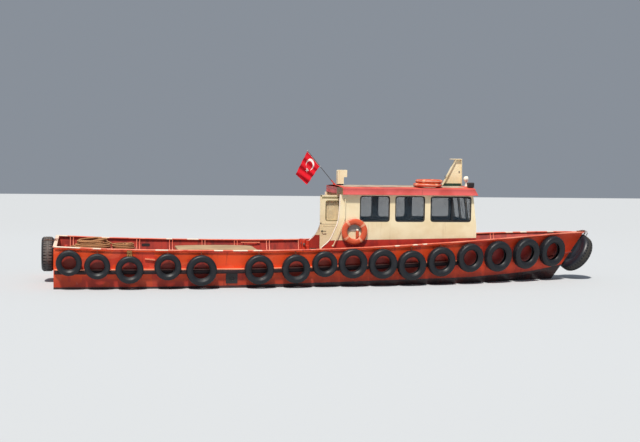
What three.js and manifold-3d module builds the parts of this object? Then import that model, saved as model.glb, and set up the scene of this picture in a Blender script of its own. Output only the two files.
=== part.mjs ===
// Mooring boat: a hard-chine steel workboat with a small wheelhouse, tyre fenders and a mooring rope.
// Millimetres. +X forward, +Y port, +Z up. The origin is amidships on the centreline at the waterline.

import * as THREE from 'three';
import { mergeVertices } from 'three/addons/utils/BufferGeometryUtils.js';
import { ConvexGeometry } from 'three/addons/geometries/ConvexGeometry.js';
import Module from 'manifold-3d';

const wasm = await Module();
wasm.setup();

// Driving dimensions of the hull
const TRANSOM_X = -7900;
const STEM_RAIL_X = 7720;
const STEM_CHINE_X = 6957;
const STEM_KEEL_X = 6500;
const DECK_Z = 680;
const STEM_DECK_Z = 900;
const FLAT_DECK_SHARE = 0.92;
const DECK_PLATE = 30;
const BULWARK_PLATE = 25;
const CAP_THICK = 30;
const CAP_OUT = 20;
const CAP_IN = 80;
const CAP_POINT = 330;
const KEEL_HALF = 30;
const SEAT = 0.3;

// share: how far along from transom to stem; the other columns are half-beams and heights there
const STATIONS = [
  { share: 0.00, railY: 2040, railZ: 1150, chineY: 1930, chineZ: -130, keelZ: -300 },
  { share: 0.10, railY: 2080, railZ: 1085, chineY: 1955, chineZ: -160, keelZ: -360 },
  { share: 0.25, railY: 2020, railZ: 1045, chineY: 1890, chineZ: -190, keelZ: -430 },
  { share: 0.40, railY: 1900, railZ: 1040, chineY: 1765, chineZ: -200, keelZ: -500 },
  { share: 0.55, railY: 1735, railZ: 1105, chineY: 1590, chineZ: -180, keelZ: -540 },
  { share: 0.70, railY: 1480, railZ: 1215, chineY: 1310, chineZ: -120, keelZ: -560 },
  { share: 0.80, railY: 1175, railZ: 1300, chineY: 990, chineZ: -40, keelZ: -545 },
  { share: 0.88, railY: 800, railZ: 1365, chineY: 610, chineZ: 90, keelZ: -500 },
  { share: 0.95, railY: 360, railZ: 1415, chineY: 250, chineZ: 230, keelZ: -420 },
  { share: 1.00, railY: 50, railZ: 1425, chineY: 40, chineZ: 330, keelZ: -300 },
];

const AFT_STEPS = 18;
const BOW_STEPS = 10;
const BOW_SHARE = 0.72;

// Rubber strake along each side
const STRAKE = { endX: 3450, low: 400, rise: 150, riseFrom: -3000, sweep: 1.4, high: 145, thick: 90 };

// Bar under the rail that the fender chains hang from
const SHEER_BAR = { drop: 62, half: 12, off: 0.9 };
const CHAIN = { r: 10, reach: 0.88 };

// Side fenders, from the stern forward: centre along the boat, centre height, outer radius
const SIDE_TYRES = [
  { x: -7500, z: 720, r: 342 },
  { x: -6770, z: 630, r: 344 },
  { x: -5930, z: 540, r: 372 },
  { x: -4920, z: 610, r: 361 },
  { x: -4020, z: 510, r: 417 },
  { x: -2450, z: 520, r: 406 },
  { x: -1430, z: 530, r: 398 },
  { x: -620, z: 650, r: 359 },
  { x: 180, z: 660, r: 417 },
  { x: 1050, z: 640, r: 420 },
  { x: 1910, z: 590, r: 423 },
  { x: 2800, z: 680, r: 426 },
  { x: 3700, z: 770, r: 415 },
  { x: 4620, z: 790, r: 449 },
  { x: 5580, z: 845, r: 455 },
  { x: 6520, z: 880, r: 460 },
];
const TYRE = { width: 0.54, hole: 0.55, tread: 0.34, bulge: 0.5, bulgeAt: 0.8, sides: 12, clear: 6 };
const TYRE_GROUP = 8;
const STERN_TYRE = { r: 490, width: 340, z: 770, sides: 14 };
const BOW_TYRE = { r: 600, width: 340, x: 7520, y: 100, z: 785, rake: 32, yaw: 16, sides: 16 };

// Cabin
const CABIN = {
  half: 1090, wall: 45, base: DECK_Z + SEAT, top: 2530,
  bulkheadX: 270, frontX: 3985, kneeZ: 1650, frontTopX: 3872,
};
const WING = [[-570, 890], [-550, 1030], [-320, 1240], [-190, 1500], [-73, 1840], [-27, CABIN.top]];
const SIDE_WINDOWS = [
  { from: 560, to: 1390 },
  { from: 1590, to: 2420 },
  { from: 2630, to: 3800 },
];
const WINDOW = { low: 1790, high: 2480, corner: 90, pane: 8 };
const FRONT_WINDOWS = [{ y: -670 }, { y: 0 }, { y: 670 }];
const FRONT_WINDOW = { half: 285, low: 1800, high: 2420 };
const ROOF = {
  half: 1210, aftX: 0, frontX: 3980, bow: 120, rake: 80, inset: 60,
  low: 2530, edge: 2720, quarter: 2757, ridge: 2770,
};

const DOOR = {
  hingeX: 245, hingeY: -415, thick: 35, near: 20, far: 720, low: 765, high: 2488,
  openLow: -375, openHigh: 285, sill: 790, head: 2465,
  windowFrom: 170, windowTo: 560, windowLow: 1755, windowHigh: 2330,
};
const KNUCKLE = { r: 12, long: 50 };

const MATERIALS = {
  hullRed: { color: 0xd4481f, roughness: 0.6, metalness: 0.1 },
  deckRed: { color: 0xb8402a, roughness: 0.7, metalness: 0.1 },
  cream: { color: 0xf0dfae, roughness: 0.5, metalness: 0.05 },
  white: { color: 0xf0f0ea, roughness: 0.5, metalness: 0.05 },
  black: { color: 0x1c1c1e, roughness: 0.7, metalness: 0.05 },
  tyre: { color: 0x2a2b2b, roughness: 0.9, metalness: 0.0 },
  glass: { color: 0x2c3a42, roughness: 0.1, metalness: 0.0 },
  steel: { color: 0x6c6f70, roughness: 0.45, metalness: 0.7 },
  bronze: { color: 0xa98646, roughness: 0.4, metalness: 0.9 },
  orange: { color: 0xf0561c, roughness: 0.6, metalness: 0.0 },
  canvas: { color: 0xc7ae83, roughness: 0.9, metalness: 0.0 },
  rope: { color: 0xa6864f, roughness: 0.95, metalness: 0.0 },
  flag: { color: 0xd01f26, roughness: 0.8, metalness: 0.0 },
};

const boat = new THREE.Group();
const lerp = THREE.MathUtils.lerp;
const clamp = THREE.MathUtils.clamp;
const rad = THREE.MathUtils.degToRad;

// Closed, merged and facing out
function clean(geometry) {
  const bare = new THREE.BufferGeometry();
  bare.setAttribute('position', geometry.getAttribute('position').clone());
  if (geometry.index) bare.setIndex(geometry.index.clone());
  const merged = mergeVertices(bare, 1e-3);
  const position = merged.getAttribute('position');
  const source = merged.index.array;
  const kept = [];
  let volume = 0;
  const corner = [new THREE.Vector3(), new THREE.Vector3(), new THREE.Vector3()];
  for (let i = 0; i < source.length; i += 3) {
    const [a, b, c] = [source[i], source[i + 1], source[i + 2]];
    if (a === b || b === c || c === a) continue;
    [a, b, c].forEach((v, k) => corner[k].fromBufferAttribute(position, v));
    volume += corner[0].dot(corner[1].clone().cross(corner[2]));
    kept.push(a, b, c);
  }
  if (volume < 0) {
    for (let i = 0; i < kept.length; i += 3) [kept[i + 1], kept[i + 2]] = [kept[i + 2], kept[i + 1]];
  }
  merged.setIndex(kept);
  return merged;
}

function toSolid(geometry) {
  const g = clean(geometry);
  return new wasm.Manifold(new wasm.Mesh({
    numProp: 3,
    vertProperties: new Float32Array(g.getAttribute('position').array),
    triVerts: new Uint32Array(g.index.array),
  }));
}

function fromSolid(solid) {
  const mesh = solid.getMesh();
  const g = new THREE.BufferGeometry();
  g.setAttribute('position', new THREE.BufferAttribute(new Float32Array(mesh.vertProperties), 3));
  g.setIndex(new THREE.BufferAttribute(new Uint32Array(mesh.triVerts), 1));
  return g;
}

const joined = (first, ...rest) => fromSolid(rest.reduce((s, g) => s.add(toSolid(g)), toSolid(first)));
const cut = (first, ...rest) => fromSolid(rest.reduce((s, g) => s.subtract(toSolid(g)), toSolid(first)));
const within = (first, second) => fromSolid(toSolid(first).intersect(toSolid(second)));

function add(name, geometry, material) {
  const look = new THREE.MeshStandardMaterial({ ...MATERIALS[material], flatShading: true });
  const mesh = new THREE.Mesh(clean(geometry), look);
  mesh.name = name;
  boat.add(mesh);
  return mesh;
}

function box(x0, x1, y0, y1, z0, z1) {
  const g = new THREE.BoxGeometry(x1 - x0, y1 - y0, z1 - z0);
  return g.translate((x0 + x1) / 2, (y0 + y1) / 2, (z0 + z1) / 2);
}

// Rings of points joined in order, the two ends closed by flat caps
function loft(rings) {
  const n = rings[0].length;
  const positions = rings.flat(2);
  const index = [];
  for (let i = 0; i < rings.length - 1; i++) {
    for (let j = 0; j < n; j++) {
      const a = i * n + j;
      const b = i * n + (j + 1) % n;
      index.push(a, b, b + n, a, b + n, a + n);
    }
  }
  const last = (rings.length - 1) * n;
  for (let j = 1; j < n - 1; j++) {
    index.push(0, j + 1, j);
    index.push(last, last + j, last + j + 1);
  }
  const g = new THREE.BufferGeometry();
  g.setAttribute('position', new THREE.Float32BufferAttribute(positions, 3));
  g.setIndex(index);
  return g;
}

function outline(points, holes = []) {
  const shape = new THREE.Shape(points.map((p) => new THREE.Vector2(p[0], p[1])));
  shape.holes.push(...holes);
  return shape;
}

function roundedHole(x0, x1, z0, z1, r) {
  const path = new THREE.Path();
  path.moveTo(x0 + r, z0);
  path.lineTo(x1 - r, z0);
  path.absarc(x1 - r, z0 + r, r, -Math.PI / 2, 0);
  path.absarc(x1 - r, z1 - r, r, 0, Math.PI / 2);
  path.absarc(x0 + r, z1 - r, r, Math.PI / 2, Math.PI);
  path.absarc(x0 + r, z0 + r, r, Math.PI, Math.PI * 1.5);
  return path;
}

const flat = (depth, steps = 3) => ({ depth, bevelEnabled: false, curveSegments: steps });

// A flat outline drawn in X and Z, thickened from y0 to y1
function plateXZ(shape, y0, y1) {
  const g = new THREE.ExtrudeGeometry(shape, flat(y1 - y0));
  const turn = new THREE.Matrix4().makeBasis(
    new THREE.Vector3(1, 0, 0), new THREE.Vector3(0, 0, 1), new THREE.Vector3(0, -1, 0));
  return g.applyMatrix4(turn).translate(0, y1, 0);
}

// A flat outline drawn in Y and Z, thickened from x0 to x1
function plateYZ(shape, x0, x1) {
  const g = new THREE.ExtrudeGeometry(shape, flat(x1 - x0));
  const turn = new THREE.Matrix4().makeBasis(
    new THREE.Vector3(0, 1, 0), new THREE.Vector3(0, 0, 1), new THREE.Vector3(1, 0, 0));
  return g.applyMatrix4(turn).translate(x0, 0, 0);
}

// A round bar from point a to point b
function rod(a, b, r, sides = 10) {
  const from = new THREE.Vector3(...a);
  const to = new THREE.Vector3(...b);
  const way = to.clone().sub(from);
  const g = new THREE.CylinderGeometry(r, r, way.length(), sides);
  const turn = new THREE.Quaternion().setFromUnitVectors(new THREE.Vector3(0, 1, 0), way.normalize());
  return g.applyQuaternion(turn).translate(...from.add(to).multiplyScalar(0.5).toArray());
}

// A ring about the local Y axis from a closed profile of [radius, height]
function ring(profile, sides) {
  const points = [...profile, profile[0]].map((p) => new THREE.Vector2(p[0], p[1]));
  return clean(new THREE.LatheGeometry(points, sides));
}

function mirrored(geometry) {
  return clean(geometry.clone().applyMatrix4(new THREE.Matrix4().makeScale(1, -1, 1)));
}

// Hull lines: a column of the station table at any share of the length
function column(name, share) {
  const t = clamp(share, 0, 1);
  let i = STATIONS.findIndex((s) => s.share >= t);
  i = clamp(i, 1, STATIONS.length - 1);
  const slope = (k) => {
    const a = STATIONS[Math.max(k - 1, 0)];
    const b = STATIONS[Math.min(k + 1, STATIONS.length - 1)];
    return (b[name] - a[name]) / (b.share - a.share);
  };
  const [p, q] = [STATIONS[i - 1], STATIONS[i]];
  const w = q.share - p.share;
  const u = (t - p.share) / w;
  const [u2, u3] = [u * u, u * u * u];
  return p[name] * (2 * u3 - 3 * u2 + 1) + slope(i - 1) * w * (u3 - 2 * u2 + u)
    + q[name] * (3 * u2 - 2 * u3) + slope(i) * w * (u3 - u2);
}

const lineX = (share, endX) => TRANSOM_X + share * (endX - TRANSOM_X);

// Port side plating: height 0 at the chine and 1 at the rail
function side(share, height) {
  return [
    lerp(lineX(share, STEM_CHINE_X), lineX(share, STEM_RAIL_X), height),
    lerp(column('chineY', share), column('railY', share), height),
    lerp(column('chineZ', share), column('railZ', share), height),
  ];
}

function deckZ(share) {
  const t = (share - FLAT_DECK_SHARE) / (1 - FLAT_DECK_SHARE);
  return lerp(DECK_Z, STEM_DECK_Z, clamp(t, 0, 1));
}

function sideAtZ(share, z) {
  const [low, high] = [column('chineZ', share), column('railZ', share)];
  return side(share, (z - low) / (high - low));
}

// Half-beam of the plating at a place along the boat and a height
function halfBeam(x, z) {
  let share = (x - TRANSOM_X) / (STEM_RAIL_X - TRANSOM_X);
  let p = sideAtZ(share, z);
  for (let i = 0; i < 12; i++) {
    share = clamp(share + (x - p[0]) / (STEM_RAIL_X - TRANSOM_X), 0, 1);
    p = sideAtZ(share, z);
  }
  return p[1];
}

const railZAt = (x) => column('railZ', (x - TRANSOM_X) / (STEM_RAIL_X - TRANSOM_X));

const SHARES = [];
for (let i = 0; i < AFT_STEPS; i++) SHARES.push(BOW_SHARE * i / AFT_STEPS);
for (let i = 0; i <= BOW_STEPS; i++) SHARES.push(lerp(BOW_SHARE, 1, i / BOW_STEPS));
SHARES.push(FLAT_DECK_SHARE);
SHARES.sort((a, b) => a - b);

const both = (points) => [...points, ...points.map((p) => [p[0], -p[1], p[2]]).reverse()];

// Hull below the deck plate
const hullRings = SHARES.map((share) => both([
  [lineX(share, STEM_KEEL_X), KEEL_HALF, column('keelZ', share)],
  side(share, 0),
  sideAtZ(share, deckZ(share) - DECK_PLATE - SEAT),
]));

const ENGINE_ROOM = { x0: -4380, x1: -2440, half: 560, floor: -200 };
const FORE_LOCKER = { x0: 4500, x1: 5000, half: 250, floor: 300 };
const RUDDER = {
  x: -7150, stock: 35, foreX: -6950, aftX: -7620, low: -960, high: -430, boss: -400, heel: -980,
};

const rudderBoss = rod([RUDDER.x, 0, RUDDER.boss], [RUDDER.x, 0, 0], 60, 12);
const well = ({ x0, x1, half, floor }) => box(x0, x1, -half, half, floor, 2000);
const engineRoom = well(ENGINE_ROOM);
const foreLocker = well(FORE_LOCKER);
add('hull', cut(joined(loft(hullRings), rudderBoss), engineRoom, foreLocker), 'hullRed');

const deckRings = SHARES.map((share) => both([
  sideAtZ(share, deckZ(share) - DECK_PLATE),
  sideAtZ(share, deckZ(share)),
]));
add('deck', cut(loft(deckRings), engineRoom, foreLocker), 'deckRed');

// Bulwark all round, with knees inside
function band(outwards, from, to, lowZ, highZ) {
  return loft(SHARES.map((share) => {
    const t = lerp(from, to, share);
    return both([sideAtZ(t, lowZ(t)), sideAtZ(t, highZ(t))].map((p) => [p[0], p[1] + outwards, p[2]]));
  }));
}

const LENGTH = STEM_RAIL_X - TRANSOM_X;
const bulwarkTop = (share) => column('railZ', share) - CAP_THICK - SEAT;
const bulwarkOuter = band(0, 0, 1, (t) => deckZ(t) + SEAT, bulwarkTop);
const innerEnd = 0.988;
const bulwarkInner = band(
  -BULWARK_PLATE, BULWARK_PLATE / LENGTH, innerEnd, (t) => deckZ(t) - 60, (t) => column('railZ', t) + 60);

const KNEES = {
  from: -7450, to: 6000, step: 950, skipFrom: 1900, skipTo: 4400, foot: 120, head: 50, half: 8,
};
const knees = [];
for (let x = KNEES.from; x <= KNEES.to; x += KNEES.step) {
  if (x > KNEES.skipFrom && x < KNEES.skipTo) continue;
  const [z0, z1] = [DECK_Z + SEAT, railZAt(x) - CAP_THICK - 12];
  const [y0, y1] = [halfBeam(x, z0) - BULWARK_PLATE, halfBeam(x, z1) - BULWARK_PLATE];
  const face = (at) => [
    [at, y0 - KNEES.foot, z0], [at, y0 + 10, z0], [at, y1 + 10, z1], [at, y1 - KNEES.head, z1],
  ];
  const knee = loft([face(x - KNEES.half), face(x + KNEES.half)]);
  knees.push(knee, mirrored(knee));
}
const bulwark = joined(cut(bulwarkOuter, bulwarkInner), ...knees);
const BULWARK_PLATES = [
  { name: 'aft', from: TRANSOM_X - 50, to: 0 },
  { name: 'middle', from: 0, to: 4300 },
  { name: 'fore', from: 4300, to: STEM_RAIL_X + 50 },
];
for (const { name, from, to } of BULWARK_PLATES) {
  const length = box(from + SEAT / 2, to - SEAT / 2, SEAT / 2, 3000, 0, 2000);
  add(`bulwark_port_${name}`, within(bulwark, length), 'hullRed');
  add(`bulwark_starboard_${name}`, within(bulwark, mirrored(length)), 'hullRed');
}

// Cap rail: a flat bar lying on the bulwark, wider at the stem where it closes to a point plate
const capSection = (share, overhang = 0) => both(
  [sideAtZ(share, column('railZ', share) - CAP_THICK), side(share, 1)]
    .map((p) => [p[0] + overhang, p[1] + CAP_OUT, p[2]]));
const capOuter = loft([
  capSection(0, -CAP_OUT),
  ...SHARES.map((share) => capSection(share)),
  capSection(1, CAP_OUT / 2),
]);
const capInner = loft(SHARES.map((share) => {
  const x = lerp(TRANSOM_X + CAP_IN, STEM_RAIL_X - CAP_POINT, share);
  const along = (x - TRANSOM_X) / LENGTH;
  const [y, z] = [column('railY', along) - CAP_IN, column('railZ', along)];
  return both([[x, y, z - CAP_THICK - 40], [x, y, z + 40]]);
}));
add('cap_rail', cut(capOuter, capInner), 'hullRed');

// The outside of the plating, two seats larger, that everything fixed to the side is trimmed to
const plating = loft(SHARES.map((share) => both([
  side(share, 0),
  sideAtZ(share, deckZ(share) - DECK_PLATE),
  sideAtZ(share, deckZ(share)),
  side(share, 1),
].map((p) => [p[0], p[1] + 2 * SEAT, p[2]]))));
const trimmed = (geometry) => cut(geometry, plating);

// Rubber strakes
function strakeLow(x) {
  const along = (x - STRAKE.riseFrom) / (STRAKE.endX - STRAKE.riseFrom);
  return STRAKE.low + STRAKE.rise * Math.max(0, along) ** STRAKE.sweep;
}
function strake() {
  const rings = [];
  const steps = 22;
  for (let i = 0; i <= steps; i++) {
    const x = lerp(TRANSOM_X + 20, STRAKE.endX, i / steps);
    const [z0, z1] = [strakeLow(x), strakeLow(x) + STRAKE.high];
    const thick = i === steps ? 30 : STRAKE.thick;
    rings.push([
      [x, halfBeam(x, z0) - 20, z0],
      [x, halfBeam(x, z0) + thick, z0 + 15],
      [x, halfBeam(x, z1) + thick, z1 - 15],
      [x, halfBeam(x, z1) - 20, z1],
    ]);
  }
  return loft(rings);
}
add('rubbing_strake_port', trimmed(strake()), 'black');
add('rubbing_strake_starboard', trimmed(mirrored(strake())), 'black');

// Side outlet
const OUTLET = { x: -3175, z: 305, half: 145, thick: 16 };
const outletTop = strakeLow(OUTLET.x) - 8;
const outletLow = OUTLET.z - OUTLET.half;
const outlet = loft([outletLow, outletTop].map((z) => {
  const [x0, x1] = [OUTLET.x - OUTLET.half, OUTLET.x + OUTLET.half];
  const back = [x0, x1].map((x) => [x, halfBeam(x, z) - 20, z]);
  const front = [x1, x0].map((x) => [x, halfBeam(x, z) + OUTLET.thick, z]);
  return [...back, ...front];
}));
add('side_outlet', trimmed(mirrored(outlet)), 'black');

// Keel fin, stern tube and the heel bar under the rudder
const SKEG = { bottom: -1050, half: 30, aftX: -7560, gateX: -6400, heelTop: -990, toeX: 4400 };
const SHAFT = { z: -680, r: 35, tube: 80, tubeFrom: -5900, tubeTo: -6520, hubFrom: -6590, hubTo: -6800 };
const keelTop = [];
for (let x = SKEG.gateX; x <= SKEG.toeX; x += 1080) {
  keelTop.push([x, column('keelZ', (x - TRANSOM_X) / (STEM_KEEL_X - TRANSOM_X)) - 6]);
}
const skegOutline = outline([
  [2500, SKEG.bottom], [3600, -820], ...keelTop.reverse(),
  [SKEG.gateX, SKEG.heelTop], [SKEG.aftX, SKEG.heelTop], [SKEG.aftX, SKEG.bottom],
]);
const heelBoss = rod([RUDDER.x, 0, SKEG.bottom + 4], [RUDDER.x, 0, RUDDER.heel], 52, 12);
const sternTube = rod([SHAFT.tubeFrom, 0, SHAFT.z], [SHAFT.tubeTo, 0, SHAFT.z], SHAFT.tube, 16);
add('keel_skeg', joined(plateXZ(skegOutline, -SKEG.half, SKEG.half), heelBoss, sternTube), 'hullRed');

// Propeller: a short shaft end, a hub and three blades
const PROPELLER = { r: 280, hub: 68, nose: 22, blades: 3, pitch: 38, chord: 210, thick: 14 };
add('propeller_shaft', rod(
  [SHAFT.tubeTo - SEAT, 0, SHAFT.z], [SHAFT.hubFrom + SEAT, 0, SHAFT.z], SHAFT.r, 14), 'steel');
const hub = joined(
  rod([SHAFT.hubFrom, 0, SHAFT.z], [SHAFT.hubTo + 60, 0, SHAFT.z], PROPELLER.hub, 14),
  new THREE.CylinderGeometry(PROPELLER.hub - 4, PROPELLER.nose, 64, 14)
    .rotateZ(-Math.PI / 2).translate(SHAFT.hubTo + 30, 0, SHAFT.z),
);
const blades = [];
for (let i = 0; i < PROPELLER.blades; i++) {
  const shape = new THREE.Shape();
  shape.moveTo(-45, 30);
  shape.bezierCurveTo(-PROPELLER.chord * 0.62, 120, -PROPELLER.chord * 0.55, 250, 0, PROPELLER.r);
  shape.bezierCurveTo(PROPELLER.chord * 0.55, 250, PROPELLER.chord * 0.62, 120, 45, 30);
  shape.closePath();
  const blade = new THREE.ExtrudeGeometry(shape, flat(PROPELLER.thick, 6));
  blade.translate(0, 0, -PROPELLER.thick / 2);
  blade.rotateY(rad(PROPELLER.pitch));
  blade.rotateX(Math.PI / 2).rotateX(2 * Math.PI * i / PROPELLER.blades);
  blade.translate((SHAFT.hubFrom + SHAFT.hubTo) / 2, 0, SHAFT.z);
  blades.push(blade);
}
add('propeller', joined(hub, ...blades), 'bronze');

// Rudder with its stock
const RUDDER_SECTION = [[RUDDER.aftX, 8], [RUDDER.x - 60, 28], [RUDDER.x + 60, 28], [RUDDER.foreX, 10]];
const rudderBlade = loft(RUDDER_SECTION.map(([x, half]) => [
  [x, -half, RUDDER.low], [x, half, RUDDER.low], [x, half, RUDDER.high], [x, -half, RUDDER.high],
]));
const rudderStock = rod(
  [RUDDER.x, 0, RUDDER.heel + SEAT], [RUDDER.x, 0, RUDDER.boss - SEAT], RUDDER.stock, 14);
add('rudder', joined(rudderBlade, rudderStock), 'hullRed');

// Engine: one block on its bed
add('engine_block', box(-3980, -2780, -300, 300, ENGINE_ROOM.floor + SEAT, 540), 'steel');

// Hatches: a coaming on the deck and a lid on two side-by-side knuckle hinges
function coaming(x0, x1, half, wall, top) {
  const z0 = DECK_Z + SEAT;
  const hole = box(x0 + wall, x1 - wall, -half + wall, half - wall, z0 - 50, top + 50);
  return cut(box(x0, x1, -half, half, z0, top), hole);
}
const HATCH = {
  x0: -4500, x1: -2320, half: 720, wall: 50, top: 900, over: 25, lip: 30, crown: 75, clear: 5,
  axisX: -2262, r: 14, hinges: [-450, 450], knuckle: 70,
};
const FORE_HATCH = {
  x0: 4430, x1: 5070, half: 320, wall: 40, top: 830, over: 15, thick: 30, clear: 5,
  axisX: 4380, r: 12, hinges: [-200, 200], knuckle: 50,
};

function hinge(axisX, z, r, edgeX, ys, long, fixed) {
  // The fixed knuckle lies inboard of the moving one, end to end on one line
  return ys.flatMap((y) => {
    const away = y < 0 ? -1 : 1;
    const inboard = [y - away * long, y - away * SEAT / 2];
    const outboard = [y + away * SEAT / 2, y + away * long];
    const [a, b] = fixed ? inboard : outboard;
    const [y0, y1] = [Math.min(a, b), Math.max(a, b)];
    const [x0, x1] = [Math.min(axisX, edgeX), Math.max(axisX, edgeX)];
    const armZ = fixed ? z - r : z + r - 8;
    const arm = box(x0, x1, y0, y1, armZ, armZ + 8);
    return [rod([axisX, y0, z], [axisX, y1, z], r, 12), arm];
  });
}
const hatchAxisZ = HATCH.top + 2;
add('engine_hatch_coaming', joined(
  coaming(HATCH.x0, HATCH.x1, HATCH.half, HATCH.wall, HATCH.top),
  ...hinge(HATCH.axisX, hatchAxisZ, HATCH.r, HATCH.x1 - 10, HATCH.hinges, HATCH.knuckle, true)), 'deckRed');

const lidLow = HATCH.top + HATCH.clear;
const [lidAft, lidFore] = [HATCH.x0 - HATCH.over, HATCH.x1 + HATCH.over];
const LID_CURVE = [
  [0, 0], [0.05, 0.42], [0.16, 0.74], [0.32, 0.94], [0.5, 1],
  [0.68, 0.94], [0.84, 0.74], [0.95, 0.42], [1, 0],
];
const lidRings = LID_CURVE.map(([t, rise]) => {
  const x = lerp(lidAft, lidFore, t);
  const half = HATCH.half + HATCH.over;
  const top = lidLow + HATCH.lip + (HATCH.crown - HATCH.lip) * rise;
  const shoulder = lerp(lidLow + HATCH.lip, top, 0.55);
  return both([
    [x, half, lidLow], [x, half, shoulder], [x, half * 0.72, lerp(shoulder, top, 0.75)], [x, 60, top],
  ]);
});
add('engine_hatch_lid', joined(
  loft(lidRings),
  ...hinge(HATCH.axisX, hatchAxisZ, HATCH.r, lidFore - 8, HATCH.hinges, HATCH.knuckle, false)), 'canvas');

const foreAxisZ = FORE_HATCH.top + 4;
const foreHinge = (edgeX, fixed) => hinge(
  FORE_HATCH.axisX, foreAxisZ, FORE_HATCH.r, edgeX, FORE_HATCH.hinges, FORE_HATCH.knuckle, fixed);
add('fore_hatch_coaming', joined(
  coaming(FORE_HATCH.x0, FORE_HATCH.x1, FORE_HATCH.half, FORE_HATCH.wall, FORE_HATCH.top),
  ...foreHinge(FORE_HATCH.x0 + 10, true)), 'deckRed');
const foreLidLow = FORE_HATCH.top + FORE_HATCH.clear;
const foreLidHalf = FORE_HATCH.half + FORE_HATCH.over;
const [foreLidAft, foreLidFore] = [FORE_HATCH.x0 - FORE_HATCH.over, FORE_HATCH.x1 + FORE_HATCH.over];
add('fore_hatch_lid', joined(
  box(foreLidAft, foreLidFore, -foreLidHalf, foreLidHalf, foreLidLow, foreLidLow + FORE_HATCH.thick),
  ...foreHinge(foreLidAft + 8, false)), 'cream');

// Cabin sides with their aft wings and three windows each
const sideOutline = [
  [-570, CABIN.base], ...WING,
  [CABIN.frontTopX, CABIN.top], [CABIN.frontX, CABIN.kneeZ], [CABIN.frontX, CABIN.base],
];
const sideHoles = SIDE_WINDOWS.map((w) => roundedHole(w.from, w.to, WINDOW.low, WINDOW.high, WINDOW.corner));
const cabinSide = plateXZ(outline(sideOutline, sideHoles), CABIN.half - CABIN.wall, CABIN.half);
add('cabin_side_port', cabinSide, 'cream');
add('cabin_side_starboard', mirrored(cabinSide), 'cream');

// Cabin front: upright below, raked above
const inner = CABIN.half - CABIN.wall - SEAT;
const frontProfile = outline([
  [CABIN.frontX, CABIN.base], [CABIN.frontX, CABIN.kneeZ], [CABIN.frontTopX, CABIN.top],
  [CABIN.frontTopX - CABIN.wall, CABIN.top], [CABIN.frontX - CABIN.wall, CABIN.kneeZ],
  [CABIN.frontX - CABIN.wall, CABIN.base],
]);
const frontCuts = FRONT_WINDOWS.map(({ y }) => box(
  3600, 4200, y - FRONT_WINDOW.half, y + FRONT_WINDOW.half, FRONT_WINDOW.low, FRONT_WINDOW.high));
add('cabin_front', cut(plateXZ(frontProfile, -inner, inner), ...frontCuts), 'cream');

// Aft bulkhead with the doorway and the fixed hinge knuckles of the door
const doorway = outline([
  [DOOR.openLow, DOOR.sill], [DOOR.openHigh, DOOR.sill],
  [DOOR.openHigh, DOOR.head], [DOOR.openLow, DOOR.head],
]);
const bulkheadShape = outline(
  [[-inner, CABIN.base], [inner, CABIN.base], [inner, CABIN.top], [-inner, CABIN.top]], [doorway]);
const DOOR_HINGES = [1050, 2200];
const fixedKnuckles = DOOR_HINGES.flatMap((z) => [
  rod([DOOR.hingeX, DOOR.hingeY, z - KNUCKLE.long], [DOOR.hingeX, DOOR.hingeY, z - SEAT / 2], KNUCKLE.r, 12),
  box(DOOR.hingeX, CABIN.bulkheadX + 10, DOOR.hingeY - 4, DOOR.hingeY + 4, z - KNUCKLE.long, z - SEAT / 2),
]);
const bulkhead = plateYZ(bulkheadShape, CABIN.bulkheadX, CABIN.bulkheadX + CABIN.wall);
add('cabin_bulkhead', joined(bulkhead, ...fixedKnuckles), 'cream');

// Door, swung open flat with the centreline
const [leafFree, leafNear] = [DOOR.hingeX - DOOR.far, DOOR.hingeX - DOOR.near];
const [paneFrom, paneTo] = [DOOR.hingeX - DOOR.windowTo, DOOR.hingeX - DOOR.windowFrom];
const doorHole = roundedHole(paneFrom, paneTo, DOOR.windowLow, DOOR.windowHigh, 70);
const leafShape = outline(
  [[leafFree, DOOR.low], [leafNear, DOOR.low], [leafNear, DOOR.high], [leafFree, DOOR.high]], [doorHole]);
const [leafY0, leafY1] = [DOOR.hingeY - DOOR.thick / 2, DOOR.hingeY + DOOR.thick / 2];
const leafKnuckles = DOOR_HINGES.flatMap((z) => [
  rod([DOOR.hingeX, DOOR.hingeY, z + SEAT / 2], [DOOR.hingeX, DOOR.hingeY, z + KNUCKLE.long], KNUCKLE.r, 12),
  box(leafNear - 10, DOOR.hingeX, DOOR.hingeY - 4, DOOR.hingeY + 4, z + SEAT / 2, z + KNUCKLE.long),
]);
add('door_leaf', joined(plateXZ(leafShape, leafY0, leafY1), ...leafKnuckles), 'cream');
const doorPane = outline([
  [paneFrom - 20, DOOR.windowLow - 20], [paneTo + 20, DOOR.windowLow - 20],
  [paneTo + 20, DOOR.windowHigh + 20], [paneFrom - 20, DOOR.windowHigh + 20],
]);
add('door_glass', plateXZ(doorPane, leafY1 + SEAT, leafY1 + SEAT + 5), 'glass');

// Roof: a cambered panel with a deep fascia, hollow underneath between the walls
const roofLow = ROOF.low + SEAT;
const roofFore = ROOF.frontX + ROOF.bow - ROOF.rake;
const roofPoints = [[ROOF.aftX, 0, ROOF.ridge], [roofFore, 0, ROOF.ridge]];
for (const s of [-1, 1]) {
  const h = ROOF.half * s;
  const corner = h - s * ROOF.inset;
  roofPoints.push([ROOF.aftX, corner, roofLow], [ROOF.aftX + ROOF.inset, h, roofLow]);
  roofPoints.push([ROOF.frontX, h, roofLow], [ROOF.frontX + ROOF.bow, h * 0.3, roofLow]);
  roofPoints.push([ROOF.aftX, corner, ROOF.edge], [ROOF.aftX + ROOF.inset, h, ROOF.edge]);
  roofPoints.push([ROOF.frontX - ROOF.rake, h, ROOF.edge]);
  roofPoints.push([ROOF.aftX, h * 0.5, ROOF.quarter], [roofFore - 20, h * 0.5, ROOF.quarter]);
}
const roofBody = new ConvexGeometry(roofPoints.map((p) => new THREE.Vector3(...p)));
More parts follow.
